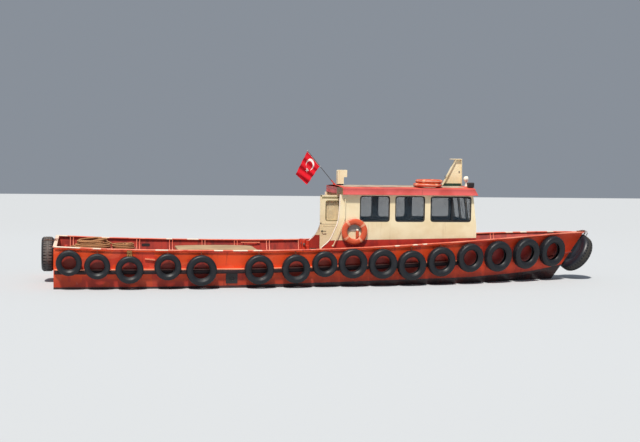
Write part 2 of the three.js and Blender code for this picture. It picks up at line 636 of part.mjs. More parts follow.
add('cabin_roof', cut(roofBody, box(400, 3700, -980, 980, 2000, 2660)), 'hullRed');

function roofZ(y) {
  const a = Math.abs(y) / ROOF.half;
  if (a < 0.5) return lerp(ROOF.ridge, ROOF.quarter, a / 0.5) + SEAT;
  return lerp(ROOF.quarter, ROOF.edge, (a - 0.5) / 0.5) + SEAT;
}

// Glass: one long pane behind each row of windows
const sideGlass = box(480, 3790, inner - WINDOW.pane, inner, WINDOW.low - 60, WINDOW.high + 30);
add('glass_port', sideGlass, 'glass');
add('glass_starboard', mirrored(sideGlass), 'glass');
function frontAt(z) {
  const up = (z - CABIN.kneeZ) / (CABIN.top - CABIN.kneeZ);
  return lerp(CABIN.frontX, CABIN.frontTopX, up) - CABIN.wall;
}
const frontGlass = loft([FRONT_WINDOW.low - 40, FRONT_WINDOW.high + 40].map((z) => {
  const x = frontAt(z) - SEAT;
  return [[x, -985, z], [x, 985, z], [x - WINDOW.pane, 985, z], [x - WINDOW.pane, -985, z]];
}));
add('glass_front', frontGlass, 'glass');

// Inside the wheelhouse
const CONSOLE = { x0: 3330, x1: 3930, half: 950, top: 1560 };
add('console', joined(
  box(CONSOLE.x0, CONSOLE.x1, -CONSOLE.half, CONSOLE.half, DECK_Z + SEAT, CONSOLE.top),
  box(CONSOLE.x0 + 150, CONSOLE.x1 - 60, -620, -80, CONSOLE.top - 10, CONSOLE.top + 130)), 'black');
const WHEEL = { x: 3200, y: -350, z: 1400, r: 210, rim: 14, spokes: 3 };
const wheelRim = new THREE.TorusGeometry(WHEEL.r, WHEEL.rim, 6, 24)
  .rotateY(Math.PI / 2).translate(WHEEL.x, WHEEL.y, WHEEL.z);
const wheelParts = [rod([WHEEL.x - 25, WHEEL.y, WHEEL.z], [CONSOLE.x0 - SEAT, WHEEL.y, WHEEL.z], 32, 12)];
for (let i = 0; i < WHEEL.spokes; i++) {
  const a = Math.PI / 2 + 2 * Math.PI * i / WHEEL.spokes;
  wheelParts.push(rod([WHEEL.x, WHEEL.y, WHEEL.z],
    [WHEEL.x, WHEEL.y + WHEEL.r * Math.cos(a), WHEEL.z + WHEEL.r * Math.sin(a)], 9, 8));
}
add('steering_wheel', joined(wheelRim, ...wheelParts), 'black');
const STOOL = { x: 2500, half: 230, low: 1290, seatTop: 1390, back: 80, top: 1850, post: 40, foot: 190 };
const deckTop = DECK_Z + SEAT;
add('helm_seat_post', joined(
  rod([STOOL.x, WHEEL.y, deckTop], [STOOL.x, WHEEL.y, STOOL.low], STOOL.post, 12),
  rod([STOOL.x, WHEEL.y, deckTop], [STOOL.x, WHEEL.y, deckTop + 20], STOOL.foot, 16)), 'steel');
const [stoolAft, stoolFore] = [STOOL.x - STOOL.half, STOOL.x + STOOL.half];
const [stoolRight, stoolLeft] = [WHEEL.y - STOOL.half, WHEEL.y + STOOL.half];
add('helm_seat', joined(
  box(stoolAft, stoolFore, stoolRight, stoolLeft, STOOL.low + SEAT, STOOL.seatTop),
  box(stoolAft, stoolAft + STOOL.back, stoolRight, stoolLeft, STOOL.seatTop - 10, STOOL.top)), 'black');

// Lifebuoys
function buoyRing(outer, inner, thick) {
  const mid = (outer + inner) / 2;
  const wide = (outer - inner) / 2;
  const profile = [];
  for (let i = 0; i < 8; i++) {
    const a = 2 * Math.PI * (i + 0.5) / 8;
    const stretch = 1 / Math.cos(Math.PI / 8);
    profile.push([mid + wide * Math.cos(a) * stretch, thick / 2 * Math.sin(a) * stretch]);
  }
  return ring(profile, 24);
}
const BUOY = { x: 380, z: 1486, outer: 375, inner: 205, thick: 105 };
add('lifebuoy_side', buoyRing(BUOY.outer, BUOY.inner, BUOY.thick)
  .translate(BUOY.x, -CABIN.half - SEAT - BUOY.thick / 2, BUOY.z), 'orange');
const ROOF_BUOYS = [
  { name: 'lifebuoy_roof_lower', x: 2610, outer: 420, inner: 235, thick: 105 },
  { name: 'lifebuoy_roof_upper', x: 2650, outer: 395, inner: 220, thick: 105 },
];
const ROOF_BUOY_Y = -720;
// The lowest ring rests on the camber at the inboard edge of its flat underside
const lowest = ROOF_BUOYS[0];
const restAt = (lowest.outer + lowest.inner) / 2 + (lowest.outer - lowest.inner) / 2 * Math.tan(Math.PI / 8);
let stackZ = roofZ(ROOF_BUOY_Y + restAt);
for (const b of ROOF_BUOYS) {
  const flatRing = buoyRing(b.outer, b.inner, b.thick).rotateX(Math.PI / 2);
  add(b.name, flatRing.translate(b.x, ROOF_BUOY_Y, stackZ + b.thick / 2), 'orange');
  stackZ += b.thick + SEAT;
}

// Mast bracket: a flanged triangular plate with a lamp shelf on top
const MAST = {
  aftX: 3243, foreX: 3850, webTopX: 3657, topAftX: 3492, topForeX: 3835, top: 3570, plate: 24, flange: 70,
};
const mastBase = ROOF.ridge + SEAT;
const underShelf = MAST.top - 10;
const mastWeb = plateXZ(outline([
  [MAST.aftX, mastBase], [MAST.foreX, mastBase], [MAST.topForeX, underShelf], [MAST.webTopX + 5, underShelf],
]), -MAST.plate / 2, MAST.plate / 2);
function flangePlate(a, b, thick) {
  const edge = outline([a, b, [b[0] + thick, b[1]], [a[0] + thick, a[1]]]);
  return plateXZ(edge, -MAST.flange, MAST.flange);
}
add('mast', joined(
  mastWeb,
  flangePlate([MAST.aftX, mastBase], [MAST.webTopX, underShelf], 16),
  flangePlate([MAST.foreX - 14, mastBase], [MAST.topForeX - 14, underShelf], 14),
  box(MAST.aftX - 10, MAST.foreX + 8, -110, 110, mastBase, mastBase + 14),
  box(MAST.topAftX, MAST.topForeX + 5, -100, 100, MAST.top - 22, MAST.top)), 'cream');

// Searchlight, horn box and ventilator on the roof
const LAMP = { x: 3900, y: -300, z: 2985, r: 82 };
add('searchlight', joined(
  rod([LAMP.x, LAMP.y, roofZ(LAMP.y + 60)], [LAMP.x, LAMP.y, LAMP.z], 34, 10),
  rod([LAMP.x, LAMP.y, roofZ(LAMP.y + 60)], [LAMP.x, LAMP.y, roofZ(LAMP.y + 60) + 12], 60, 12),
  new THREE.SphereGeometry(LAMP.r, 14, 10).rotateX(Math.PI / 2).translate(LAMP.x, LAMP.y, LAMP.z)), 'white');
add('horn_box', box(3795, 3965, -880, -720, roofZ(-720), roofZ(-720) + 145), 'black');
const VENT = { x0: 80, x1: 262, y0: -150, y1: 50, low: 2812, high: 3205, hoodX: 356, hoodLow: 3000 };
add('ventilator', joined(
  box(VENT.x0, VENT.x1, VENT.y0, VENT.y1, VENT.low, VENT.high),
  box(VENT.x1 - 20, VENT.hoodX, VENT.y0, VENT.y1, VENT.hoodLow, VENT.high),
  box(VENT.x0 + 12, VENT.x1 - 12, VENT.y0 + 15, VENT.y1 - 15, ROOF.ridge + SEAT, VENT.low + 20)), 'cream');

// Ensign staff in a socket near the roof's aft edge, leaning aft
const STAFF = { foot: [73, 250, 2775], head: [-757, 250, 3756], r: 9 };
const SOCKET = { x0: 20, x1: 105, y0: 222, y1: 278, high: 45 };
const socketLow = roofZ(SOCKET.y0);
add('flagstaff', joined(
  rod(STAFF.foot, STAFF.head, STAFF.r, 8),
  box(SOCKET.x0, SOCKET.x1, SOCKET.y0, SOCKET.y1, socketLow, socketLow + SOCKET.high)), 'steel');
const staffWay = new THREE.Vector3(...STAFF.head).sub(new THREE.Vector3(...STAFF.foot)).normalize();
const staffPoint = (back, off) => {
  const p = new THREE.Vector3(...STAFF.head).addScaledVector(staffWay, -back);
  const across = new THREE.Vector3(-staffWay.z, 0, staffWay.x);
  return p.addScaledVector(across, off);
};
const FLAG = { head: 22, foot: 590, gap: 9.2, half: 25 };
const hoistTop = staffPoint(FLAG.head, FLAG.gap);
const hoistLow = staffPoint(FLAG.foot, FLAG.gap);
const flagShape = outline([[hoistTop.x, hoistTop.z], [hoistLow.x, hoistLow.z], [-745, 2755], [-1085, 3060]]);
add('flag', plateXZ(flagShape, STAFF.foot[1] - FLAG.half, STAFF.foot[1] + FLAG.half), 'flag');

// Handrails on the cabin wings
const HANDRAIL = [[104, 2400], [99, 1870], [-225, 1085]];
const railY = CABIN.half + 62;
function handrail() {
  const p = HANDRAIL.map(([x, z]) => [x, railY, z]);
  const feet = HANDRAIL.map(([x, z]) => rod([x, CABIN.half + SEAT, z], [x, railY, z], 11, 8));
  const ball = new THREE.SphereGeometry(13, 8, 6).translate(...p[1]);
  return joined(rod(p[0], p[1], 12, 8), rod(p[1], p[2], 12, 8), ball, ...feet);
}
add('handrail_port', handrail(), 'cream');
add('handrail_starboard', mirrored(handrail()), 'cream');

// Bitts, and the towing hook aft of the cabin
function doubleBitt(x, half, top, r, base = DECK_Z + SEAT) {
  return joined(
    rod([x, -half, base], [x, -half, top], r, 14),
    rod([x, half, base], [x, half, top], r, 14),
    rod([x, -half - 90, top - 130], [x, half + 90, top - 130], r * 0.55, 12),
    box(x - r - 30, x + r + 30, -half - r - 40, half + r + 40, base, base + 16));
}
add('tow_bitt', doubleBitt(-900, 190, 1190, 62), 'hullRed');
add('fore_bitt', doubleBitt(5700, 150, 1130, 55), 'hullRed');
add('stern_bitt', doubleBitt(-7600, 150, 1010, 45), 'hullRed');
const HOOK = { x: -900, z: 960 };
add('tow_hook', joined(
  box(HOOK.x + 62 + SEAT, HOOK.x + 190, -60, 60, HOOK.z - 60, HOOK.z + 60),
  box(HOOK.x + 120, HOOK.x + 420, -22, 22, HOOK.z - 110, HOOK.z - 30),
  rod([HOOK.x + 150, 0, HOOK.z], [HOOK.x + 150, 0, HOOK.z + 190], 55, 14),
  box(HOOK.x + 92.5, HOOK.x + 250, -90, 90, DECK_Z + SEAT, HOOK.z - 50)), 'black');

// Tyre fenders
function tyre(r, width, sides) {
  const [tread, bulge] = [TYRE.tread * width, TYRE.bulge * width];
  const [mid, hole] = [TYRE.bulgeAt * r, TYRE.hole * r];
  return ring([[r, -tread], [r, tread], [mid, bulge], [hole, 0], [mid, -bulge]], sides);
}

function sideTyre({ x, z, r }) {
  const width = TYRE.width * r;
  const step = 50;
  const turn = -(halfBeam(x + step, z) - halfBeam(x - step, z)) / (2 * step);
  const flare = (halfBeam(x, z + step) - halfBeam(x, z - step)) / (2 * step);
  const lean = flare * 0.5;
  const normal = new THREE.Vector3(turn, 1, -lean).normalize();
  const turnTo = new THREE.Quaternion().setFromUnitVectors(new THREE.Vector3(0, 1, 0), normal);
  const centre = new THREE.Vector3(x, halfBeam(x, z), z);
  // It leans on the plating and the strake: the widest need of any point of its inner face
  let push = 0;
  for (const [radius, inward] of [[r, TYRE.tread * width], [r * TYRE.bulgeAt, TYRE.bulge * width]]) {
    for (let i = 0; i < 24; i++) {
      const a = 2 * Math.PI * i / 24;
      const p = new THREE.Vector3(radius * Math.cos(a), -inward, radius * Math.sin(a));
      p.applyQuaternion(turnTo).add(centre);
      const low = strakeLow(p.x);
      const onStrake = p.x < STRAKE.endX && p.z > low - 10 && p.z < low + STRAKE.high + 10;
      push = Math.max(push, halfBeam(p.x, p.z) + (onStrake ? STRAKE.thick : 0) + TYRE.clear - p.y);
    }
  }
  centre.y += push;
  const body = tyre(r, width, TYRE.sides).applyQuaternion(turnTo).translate(...centre.toArray());
  // A short chain from the sheer bar to the top of the tread
  const barZ = railZAt(x) - SHEER_BAR.drop;
  const barY = halfBeam(x, barZ) + SHEER_BAR.off + SHEER_BAR.half;
  const top = centre.clone().add(new THREE.Vector3(0, lean * r, r).setLength(r * CHAIN.reach));
  const chain = rod([x, barY, barZ], top.toArray(), CHAIN.r, 4);
  return [body, chain];
}

// A square bar along the hull's own stations, a seat off the plating
function sheerBar(from, to) {
  const shares = [from, ...SHARES.filter((share) => share > from && share < to), to];
  const { drop, half, off } = SHEER_BAR;
  return loft(shares.map((share) => {
    const z = column('railZ', share) - drop;
    const [low, high] = [sideAtZ(share, z - half), sideAtZ(share, z + half)];
    const out = (p, by) => [p[0], p[1] + by, p[2]];
    return [out(low, off), out(low, off + 2 * half), out(high, off + 2 * half), out(high, off)];
  }));
}

// from and to: where the group's sheer bar begins and ends, as shares of the length just inside a station
const FENDER_GROUPS = [
  { name: 'aft', from: 0.002, to: 0.479 },
  { name: 'forward', from: 0.481, to: 0.943 },
];
FENDER_GROUPS.forEach(({ name, from, to }, g) => {
  const own = SIDE_TYRES.slice(g * TYRE_GROUP, (g + 1) * TYRE_GROUP);
  const bar = sheerBar(from, to);
  const hung = own.flatMap(sideTyre);
  add(`fender_tyres_port_${name}`, joined(bar, ...hung), 'tyre');
  add(`fender_tyres_starboard_${name}`, joined(mirrored(bar), ...hung.map(mirrored)), 'tyre');
});

// Stern fender, hung over the cap rail on the transom
const sternX = TRANSOM_X - CAP_OUT - 6 - STERN_TYRE.width / 2;
const sternRail = column('railZ', 0);
const sternTyre = tyre(STERN_TYRE.r, STERN_TYRE.width, STERN_TYRE.sides).rotateZ(Math.PI / 2);
add('fender_tyre_stern', joined(
  sternTyre.translate(sternX, 0, STERN_TYRE.z),
  box(sternX, TRANSOM_X + 40, -45, 45, sternRail + SEAT, sternRail + 26)), 'tyre');

// Bow fender, one large tyre across the raked stem, swung a little to port
const [rake, yaw] = [rad(BOW_TYRE.rake), rad(BOW_TYRE.yaw)];
const bowAxis = new THREE.Vector3(
  Math.cos(rake) * Math.cos(yaw), Math.cos(rake) * Math.sin(yaw), -Math.sin(rake));
const bowUp = new THREE.Vector3(
  Math.sin(rake) * Math.cos(yaw), Math.sin(rake) * Math.sin(yaw), Math.cos(rake));
const bowTurn = new THREE.Quaternion().setFromUnitVectors(new THREE.Vector3(0, 1, 0), bowAxis);
const bowCentre = new THREE.Vector3(BOW_TYRE.x, BOW_TYRE.y, BOW_TYRE.z);
const bowTop = bowCentre.clone().addScaledVector(bowUp, BOW_TYRE.r * CHAIN.reach);
const stemRail = column('railZ', 1);
const bowLash = { x: STEM_RAIL_X + 48, z: stemRail + 12 };
const bowTyre = tyre(BOW_TYRE.r, BOW_TYRE.width, BOW_TYRE.sides).applyQuaternion(bowTurn);
add('fender_tyre_bow', joined(
  bowTyre.translate(...bowCentre.toArray()),
  rod([bowLash.x, 0, bowLash.z], bowTop.toArray(), 14, 5),
  box(STEM_RAIL_X - 200, bowLash.x + 14, -40, 40, stemRail + SEAT, stemRail + 26)), 'tyre');

// Trunk over the steering gear, that the mooring rope is stowed on
const TRUNK = { x0: -7440, x1: -5650, y0: -720, y1: 410, top: 930 };
add('steering_trunk', box(TRUNK.x0, TRUNK.x1, TRUNK.y0, TRUNK.y1, DECK_Z + SEAT, TRUNK.top), 'deckRed');

// Mooring rope: a large coil and a small one side by side on the trunk, and the lead to the stern bitt
const ROPE = { r: 24, foot: TRUNK.top + SEAT };
const LARGE_COIL = { x: -6880, y: -150, inner: 310, outer: 520, top: 1195 };
const SMALL_COIL = { x: -6023.7, y: -50, inner: 185, outer: 340, top: 1085 };
const COIL_SHOULDER = 45;
function coil({ x, y, inner, outer, top }) {
  const profile = [
    [outer, ROPE.foot], [outer, top - COIL_SHOULDER], [outer - COIL_SHOULDER, top],
    [inner + COIL_SHOULDER, top], [inner, top - COIL_SHOULDER], [inner, ROPE.foot],
  ];
  return ring(profile, 24).rotateX(Math.PI / 2).translate(x, y, 0);
}

// The free end is an eye splice bedded in the top turns of the small coil
const EYE = { middle: 120, r: 24, x: 115, y: -60, bed: 4 };
const eyeProfile = [];
for (let i = 0; i < 8; i++) {
  const a = 2 * Math.PI * (i + 0.5) / 8;
  eyeProfile.push([EYE.middle + EYE.r * Math.cos(a), EYE.r * Math.sin(a)]);
}
const eyeZ = SMALL_COIL.top - EYE.bed + EYE.r * Math.cos(Math.PI / 8);
const eye = ring(eyeProfile, 20).rotateX(Math.PI / 2).translate(SMALL_COIL.x + EYE.x, SMALL_COIL.y + EYE.y, eyeZ);
add('rope_coil_large', coil(LARGE_COIL), 'rope');
add('rope_coil_small', joined(coil(SMALL_COIL), eye), 'rope');

// The lead leaves the stern bitt, climbs over the trunk's edge and meets the large coil along its side
const LEAD = [
  [-7600, 195.4, 760], [-7600, 218, 760], [-7588, 268, 786], [-7550, 304, 850], [-7500, 323, 922],
  [-7436, 333, 963], [-7360, 339, 963], [-7270, 342, 954.6], [-7104, 343, 953.9],
];
const leadCurve = new THREE.CatmullRomCurve3(LEAD.map((p) => new THREE.Vector3(...p)));
const leadR = ROPE.r - 0.6;
const leadSection = new THREE.Shape();
for (let i = 0; i < 10; i++) {
  const a = 2 * Math.PI * i / 10;
  const [x, y] = [leadR * Math.cos(a), leadR * Math.sin(a)];
  if (i === 0) leadSection.moveTo(x, y);
  else leadSection.lineTo(x, y);
}
leadSection.closePath();
add('rope_lead', new THREE.ExtrudeGeometry(
  leadSection, { steps: 10, bevelEnabled: false, extrudePath: leadCurve }), 'rope');

export default boat;
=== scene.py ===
"""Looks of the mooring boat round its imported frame. Metres, +X forward, +Y port, +Z up, waterline at 0."""

from math import acos, cos, hypot, pi, radians, sin, sqrt, tan
from types import SimpleNamespace as Sizes

import bmesh
import bpy
import numpy as np
from mathutils import Matrix, Vector, noise
from mathutils.geometry import tessellate_polygon


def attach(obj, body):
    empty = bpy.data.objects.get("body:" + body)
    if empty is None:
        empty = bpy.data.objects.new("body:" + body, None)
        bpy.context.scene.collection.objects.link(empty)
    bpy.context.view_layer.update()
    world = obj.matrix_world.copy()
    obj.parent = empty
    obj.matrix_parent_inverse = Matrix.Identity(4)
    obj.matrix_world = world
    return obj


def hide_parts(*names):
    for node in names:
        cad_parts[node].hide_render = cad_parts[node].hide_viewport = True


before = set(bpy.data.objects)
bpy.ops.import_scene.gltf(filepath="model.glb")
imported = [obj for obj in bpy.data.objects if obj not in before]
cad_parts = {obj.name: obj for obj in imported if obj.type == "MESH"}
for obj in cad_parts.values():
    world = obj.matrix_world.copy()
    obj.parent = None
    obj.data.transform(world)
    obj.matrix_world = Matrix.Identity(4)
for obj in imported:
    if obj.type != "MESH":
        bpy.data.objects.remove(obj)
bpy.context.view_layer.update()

# Hull lines, as half-beams and heights at shares of the length
TRANSOM_X = -7.9
STEM_RAIL_X = 7.72
STEM_CHINE_X = 6.957
STEM_KEEL_X = 6.5
DECK_Z = 0.68
STEM_DECK_Z = 0.9
FLAT_DECK_SHARE = 0.92
DECK_PLATE = 0.03
BULWARK_PLATE = 0.025
CAP_THICK = 0.03
CAP_OUT = 0.02
CAP_IN = 0.08
CAP_POINT = 0.33
KEEL_HALF = 0.03
SEAT = 0.0003
DECK_SEAT = DECK_Z + SEAT
LENGTH = STEM_RAIL_X - TRANSOM_X
STATION_COLUMNS = ("share", "rail_y", "rail_z", "chine_y", "chine_z", "keel_z")
STATIONS = np.array([
    (0.00, 2.040, 1.150, 1.930, -0.130, -0.300),
    (0.10, 2.080, 1.085, 1.955, -0.160, -0.360),
    (0.25, 2.020, 1.045, 1.890, -0.190, -0.430),
    (0.40, 1.900, 1.040, 1.765, -0.200, -0.500),
    (0.55, 1.735, 1.105, 1.590, -0.180, -0.540),
    (0.70, 1.480, 1.215, 1.310, -0.120, -0.560),
    (0.80, 1.175, 1.300, 0.990, -0.040, -0.545),
    (0.88, 0.800, 1.365, 0.610, 0.090, -0.500),
    (0.95, 0.360, 1.415, 0.250, 0.230, -0.420),
    (1.00, 0.050, 1.425, 0.040, 0.330, -0.300),
])
SIDES = ((1, "port"), (-1, "starboard"))
FORWARD, UP = (1, 0, 0), (0, 0, 1)


def lerp(a, b, t):
    return a + (b - a) * t


def smooth(low, high, x):
    t = np.clip((x - low) / (high - low), 0, 1)
    return t * t * (3 - 2 * t)


def arr(values):
    return np.asarray(values, float)


def around(n):
    """n angles round a full turn."""
    return 2 * np.pi * np.arange(n) / n


def turned_to(axis):
    """The rotation that takes +Z to an axis."""
    return np.array(Vector(UP).rotation_difference(Vector(axis)).to_matrix())


def column(name, share):
    """A column of the station table at any share of the length, as a smooth curve through its rows."""
    shares, values = STATIONS[:, 0], STATIONS[:, STATION_COLUMNS.index(name)]
    last = len(shares) - 1
    t = float(np.clip(share, 0, 1))
    i = min(max(int(np.searchsorted(shares, t)), 1), last)

    def slope(j):
        a, b = max(j - 1, 0), min(j + 1, last)
        return (values[b] - values[a]) / (shares[b] - shares[a])

    width = shares[i] - shares[i - 1]
    u = (t - shares[i - 1]) / width
    return float(
        values[i - 1] * (2 * u**3 - 3 * u**2 + 1) + slope(i - 1) * width * (u**3 - 2 * u**2 + u)
        + values[i] * (3 * u**2 - 2 * u**3) + slope(i) * width * (u**3 - u**2))


def line_x(share, end_x):
    return TRANSOM_X + share * (end_x - TRANSOM_X)


def side(share, height):
    """A point of the port plating: height 0 at the chine, 1 at the rail."""
    return np.array([lerp(line_x(share, STEM_CHINE_X), line_x(share, STEM_RAIL_X), height),
                     lerp(column("chine_y", share), column("rail_y", share), height),
                     lerp(column("chine_z", share), column("rail_z", share), height)])


def side_at_z(share, z):
    low, high = column("chine_z", share), column("rail_z", share)
    return side(share, (z - low) / (high - low))


def deck_z(share):
    return lerp(DECK_Z, STEM_DECK_Z, np.clip((share - FLAT_DECK_SHARE) / (1 - FLAT_DECK_SHARE), 0, 1))


def half_beam(x, z):
    share = (x - TRANSOM_X) / LENGTH
    p = side_at_z(share, z)
    for _ in range(8):
        if abs(x - p[0]) < 1e-5:
            break
        share = float(np.clip(share + (x - p[0]) / LENGTH, 0, 1))
        p = side_at_z(share, z)
    return float(p[1])


def rail_z(x):
    return column("rail_z", (x - TRANSOM_X) / LENGTH)


class Shape:
    """A mesh gathered from parts. A part is an array of vertices and a list of faces."""

    def __init__(self, *parts):
        self.verts, self.faces, self.paint, self.count = [], [], [], 0
        self.add(*parts)

    def add(self, *parts, paint=0):
        for verts, faces in parts:
            verts = arr(verts)
            self.verts.append(verts)
            self.faces += [tuple(i + self.count for i in face) for face in faces]
            self.paint += [paint] * len(faces)
            self.count += len(verts)
        return self

    def lined(self, part, low, high, edge):
        """Adds a plate with paints of their own on its low faces, its high faces and its edges."""
        start = len(self.faces)
        self.add(part, paint=edge)
        n = sum(len(face) == 3 for face in part[1]) // 2
        self.paint[start:start + 2 * n] = [low] * n + [high] * n
        return self

    def piece(self, name, slot, materials, replaces="", sharp=35, body="hull", weld=0.0, outward=True):
        """Smooth faces, with hard edges where the surface turns by more than the angle sharp."""
        mesh = bpy.data.meshes.new(name)
        mesh.from_pydata(np.concatenate(self.verts).tolist(), [], self.faces)
        for material in materials if isinstance(materials, list) else [materials]:
            mesh.materials.append(material)
        mesh.polygons.foreach_set("material_index", self.paint)
        b = bmesh.new()
        b.from_mesh(mesh)
        if weld:
            bmesh.ops.remove_doubles(b, verts=b.verts, dist=weld)
        if outward:
            bmesh.ops.recalc_face_normals(b, faces=b.faces)
        for face in b.faces:
            face.smooth = True
        for edge in b.edges:
            edge.smooth = len(edge.link_faces) != 2 or edge.calc_face_angle(0) < radians(sharp)
        b.to_mesh(mesh)
        b.free()
        piece = bpy.data.objects.new(name, mesh)
        bpy.context.scene.collection.objects.link(piece)
        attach(piece, body)
        if replaces:
            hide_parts(*replaces.split())
        return piece


def mark(piece, name, measure):
    """Stores a number for each vertex of a piece, worked out from its place."""
    layer = piece.data.attributes.new(name, "FLOAT", "POINT")
    layer.data.foreach_set("value", [float(measure(v.co)) for v in piece.data.vertices])


def loft(rings, closed=True, caps=True, loop=False):
    """Rings of points joined in order. closed: each ring runs round. loop: the last ring meets the first."""
    rings = arr(rings)
    count, n = rings.shape[:2]
    faces = []
    for i in range(count if loop else count - 1):
        k = (i + 1) % count
        for j in range(n if closed else n - 1):
            m = (j + 1) % n
            faces.append((i * n + j, i * n + m, k * n + m, k * n + j))
    if caps and not loop and closed:
        faces += [tuple(reversed(range(n))), tuple(range((count - 1) * n, count * n))]
    return rings.reshape(-1, 3), faces


def sheet(rows):
    return loft(rows, closed=False, caps=False)


def block(x0, x1, y0, y1, z0, z1, r=0.004):
    """A box with its edges rounded off by one chamfer."""
    (x0, x1), (y0, y1) = sorted((x0, x1)), sorted((y0, y1))
    r = min(r, (x1 - x0) / 2.01, (y1 - y0) / 2.01, (z1 - z0) / 2.01)
    rings = []
    for z, inset in ((z0, r), (z0 + r, 0), (z1 - r, 0), (z1, r)):
        ring = []
        for x, y, sx, sy in ((x0, y0, 1, 1), (x1, y0, -1, 1), (x1, y1, -1, -1), (x0, y1, 1, -1)):
            first, second = (sx * (r + inset), sy * inset), (sx * inset, sy * (r + inset))
            if sx * sy > 0:
                first, second = second, first
            ring += [(x + first[0], y + first[1], z), (x + second[0], y + second[1], z)]
        rings.append(ring)
    return loft(rings)


def frames_along(path):
    """Two directions square to the path at each of its points, carried along without twisting."""
    way = np.gradient(path, axis=0)
    way /= np.linalg.norm(way, axis=1)[:, None]
    start = arr(UP) if abs(way[0][2]) < 0.9 else arr(FORWARD)
    u = start - way[0] * (start @ way[0])
    us = []
    for w in way:
        u = u - w * (u @ w)
        u /= np.linalg.norm(u)
        us.append(u.copy())
    return np.array(us), np.cross(way, us)


def tube(path, radius, sides=10, loop=False):
    path = arr(path)
    u, v = frames_along(path)
    a = around(sides)
    r = np.broadcast_to(arr(radius), len(path))[:, None, None]
    rings = path[:,
                 None] + r * (np.cos(a)[None, :, None] * u[:, None] + np.sin(a)[None, :, None] * v[:, None])
    return loft(rings, loop=loop)


def hoop(place, r, bar, points, sides=8):
    """A ring of round bar. place(p, q) puts a point of the ring's own plane into space."""
    return tube([place(r * cos(a), r * sin(a)) for a in around(points)], bar, sides, loop=True)


def lathe(profile, sides, centre, axis=UP, caps=True):
    """A profile of (radius, height) turned round an axis; closed on itself unless it has caps."""
    a = around(sides)
    p = arr(profile)
    rings = np.stack([p[:, 0][None] * np.cos(a)[:, None], p[:, 0][None] * np.sin(a)[:, None],
                      np.broadcast_to(p[:, 1], (sides, len(p)))], axis=2)
    rings = rings @ turned_to(Vector(axis).normalized()).T + arr(centre)
    if not caps:
        return loft(rings, loop=True)
    verts, faces = loft(rings, closed=False, loop=True)
    n = len(p)
    ends = [tuple(i * n for i in range(sides)), tuple(i * n + n - 1 for i in reversed(range(sides)))]
    return verts, faces + ends


def rod(a, b, r, sides=16, chamfer=0.0):
    a, b = arr(a), arr(b)
    long = float(np.linalg.norm(b - a))
    c = min(chamfer, r * 0.5, long * 0.3)
    return lathe([(r - c, 0), (r, c), (r, long - c), (r - c, long)] if c else [(r, 0), (r, long)], sides, a,
                 b - a)


def post(x, y, z0, z1, r, sides=16, chamfer=0.0):
    return rod((x, y, z0), (x, y, z1), r, sides, chamfer)


def rounded(points, radii, steps=5):
    """A closed outline in a plane with its corners rounded."""
    points = [arr(p) for p in points]
    out = []
    for i, p in enumerate(points):
        r = radii[i] if hasattr(radii, "__len__") else radii
        before, after = points[i - 1] - p, points[(i + 1) % len(points)] - p
        before /= np.linalg.norm(before)
        after /= np.linalg.norm(after)
        reach = r / tan(acos(np.clip(before @ after, -1, 1)) / 2)
        a, b = p + before * reach, p + after * reach
        for k in range(steps + 1):
            t = k / steps
            out.append((1 - t) ** 2 * a + 2 * t * (1 - t) * p + t**2 * b)
    return np.array(out)


def oblong(x0, x1, z0, z1, corners=None, steps=7):
    points = [(x0, z0), (x1, z0), (x1, z1), (x0, z1)]
    return points if corners is None else rounded(points, corners, steps)


def plate(outline, place, low, high, holes=()):
    """A flat plate with holes. place(p, q, d) puts a point of the outline's plane at depth d."""
    loops = [arr(o) for o in [outline, *holes]]
    flat = np.concatenate(loops)
    triangles = tessellate_polygon([[Vector((p[0], p[1], 0)) for p in loop] for loop in loops])
    n = len(flat)
    verts = [place(p, q, low) for p, q in flat] + [place(p, q, high) for p, q in flat]
    faces = [tuple(t) for t in triangles] + [tuple(i + n for i in reversed(t)) for t in triangles]
    start = 0
    for loop in loops:
        m = len(loop)
        for j in range(m):
            a, b = start + j, start + (j + 1) % m
            faces.append((a, b, b + n, a + n))
        start += m
    return np.array(verts, float), faces


def in_xz(p, q, d):
    return (p, d, q)


def in_yz(p, q, d):
    return (d, p, q)


def in_xy(p, q, d):
    return (p, q, d)


def catmull(points, per_span):
    """A smooth curve through the points."""
    points = arr(points)
    padded = np.concatenate([[2 * points[0] - points[1]], points, [2 * points[-1] - points[-2]]])
    out = []
    for i in range(1, len(padded) - 2):
        a, b, c, d = padded[i - 1:i + 3]
        for k in range(per_span):
            t = k / per_span
            out.append(0.5 * (2 * b + (c - a) * t + (2 * a - 5 * b + 4 * c - d) * t**2
                              + (3 * b - a - 3 * c + d) * t**3))
    out.append(points[-1])
    return np.array(out)


def even(path, step):
    """The same path with its points a fixed step apart."""
    path = arr(path)
    ends = np.concatenate([[0], np.cumsum(np.linalg.norm(np.diff(path, axis=0), axis=1))])
    at = np.linspace(0, ends[-1], max(2, int(round(ends[-1] / step)) + 1))
    return np.stack([np.interp(at, ends, path[:, k]) for k in range(3)], axis=1)


def stray(angle, spread, seed):
    """A number that drifts smoothly as the angle goes round."""
    return noise.noise(Vector((cos(angle) * spread, sin(angle) * spread, seed)))


def srgb(r, g, b):
    """A colour given as the photograph's 0 to 255 values, made linear."""
    return tuple(((c / 255 + 0.055) / 1.055) ** 2.4 if c > 10 else c / 3294 for c in (r, g, b))


def darker(colour, share):
    return tuple(c * share for c in colour)


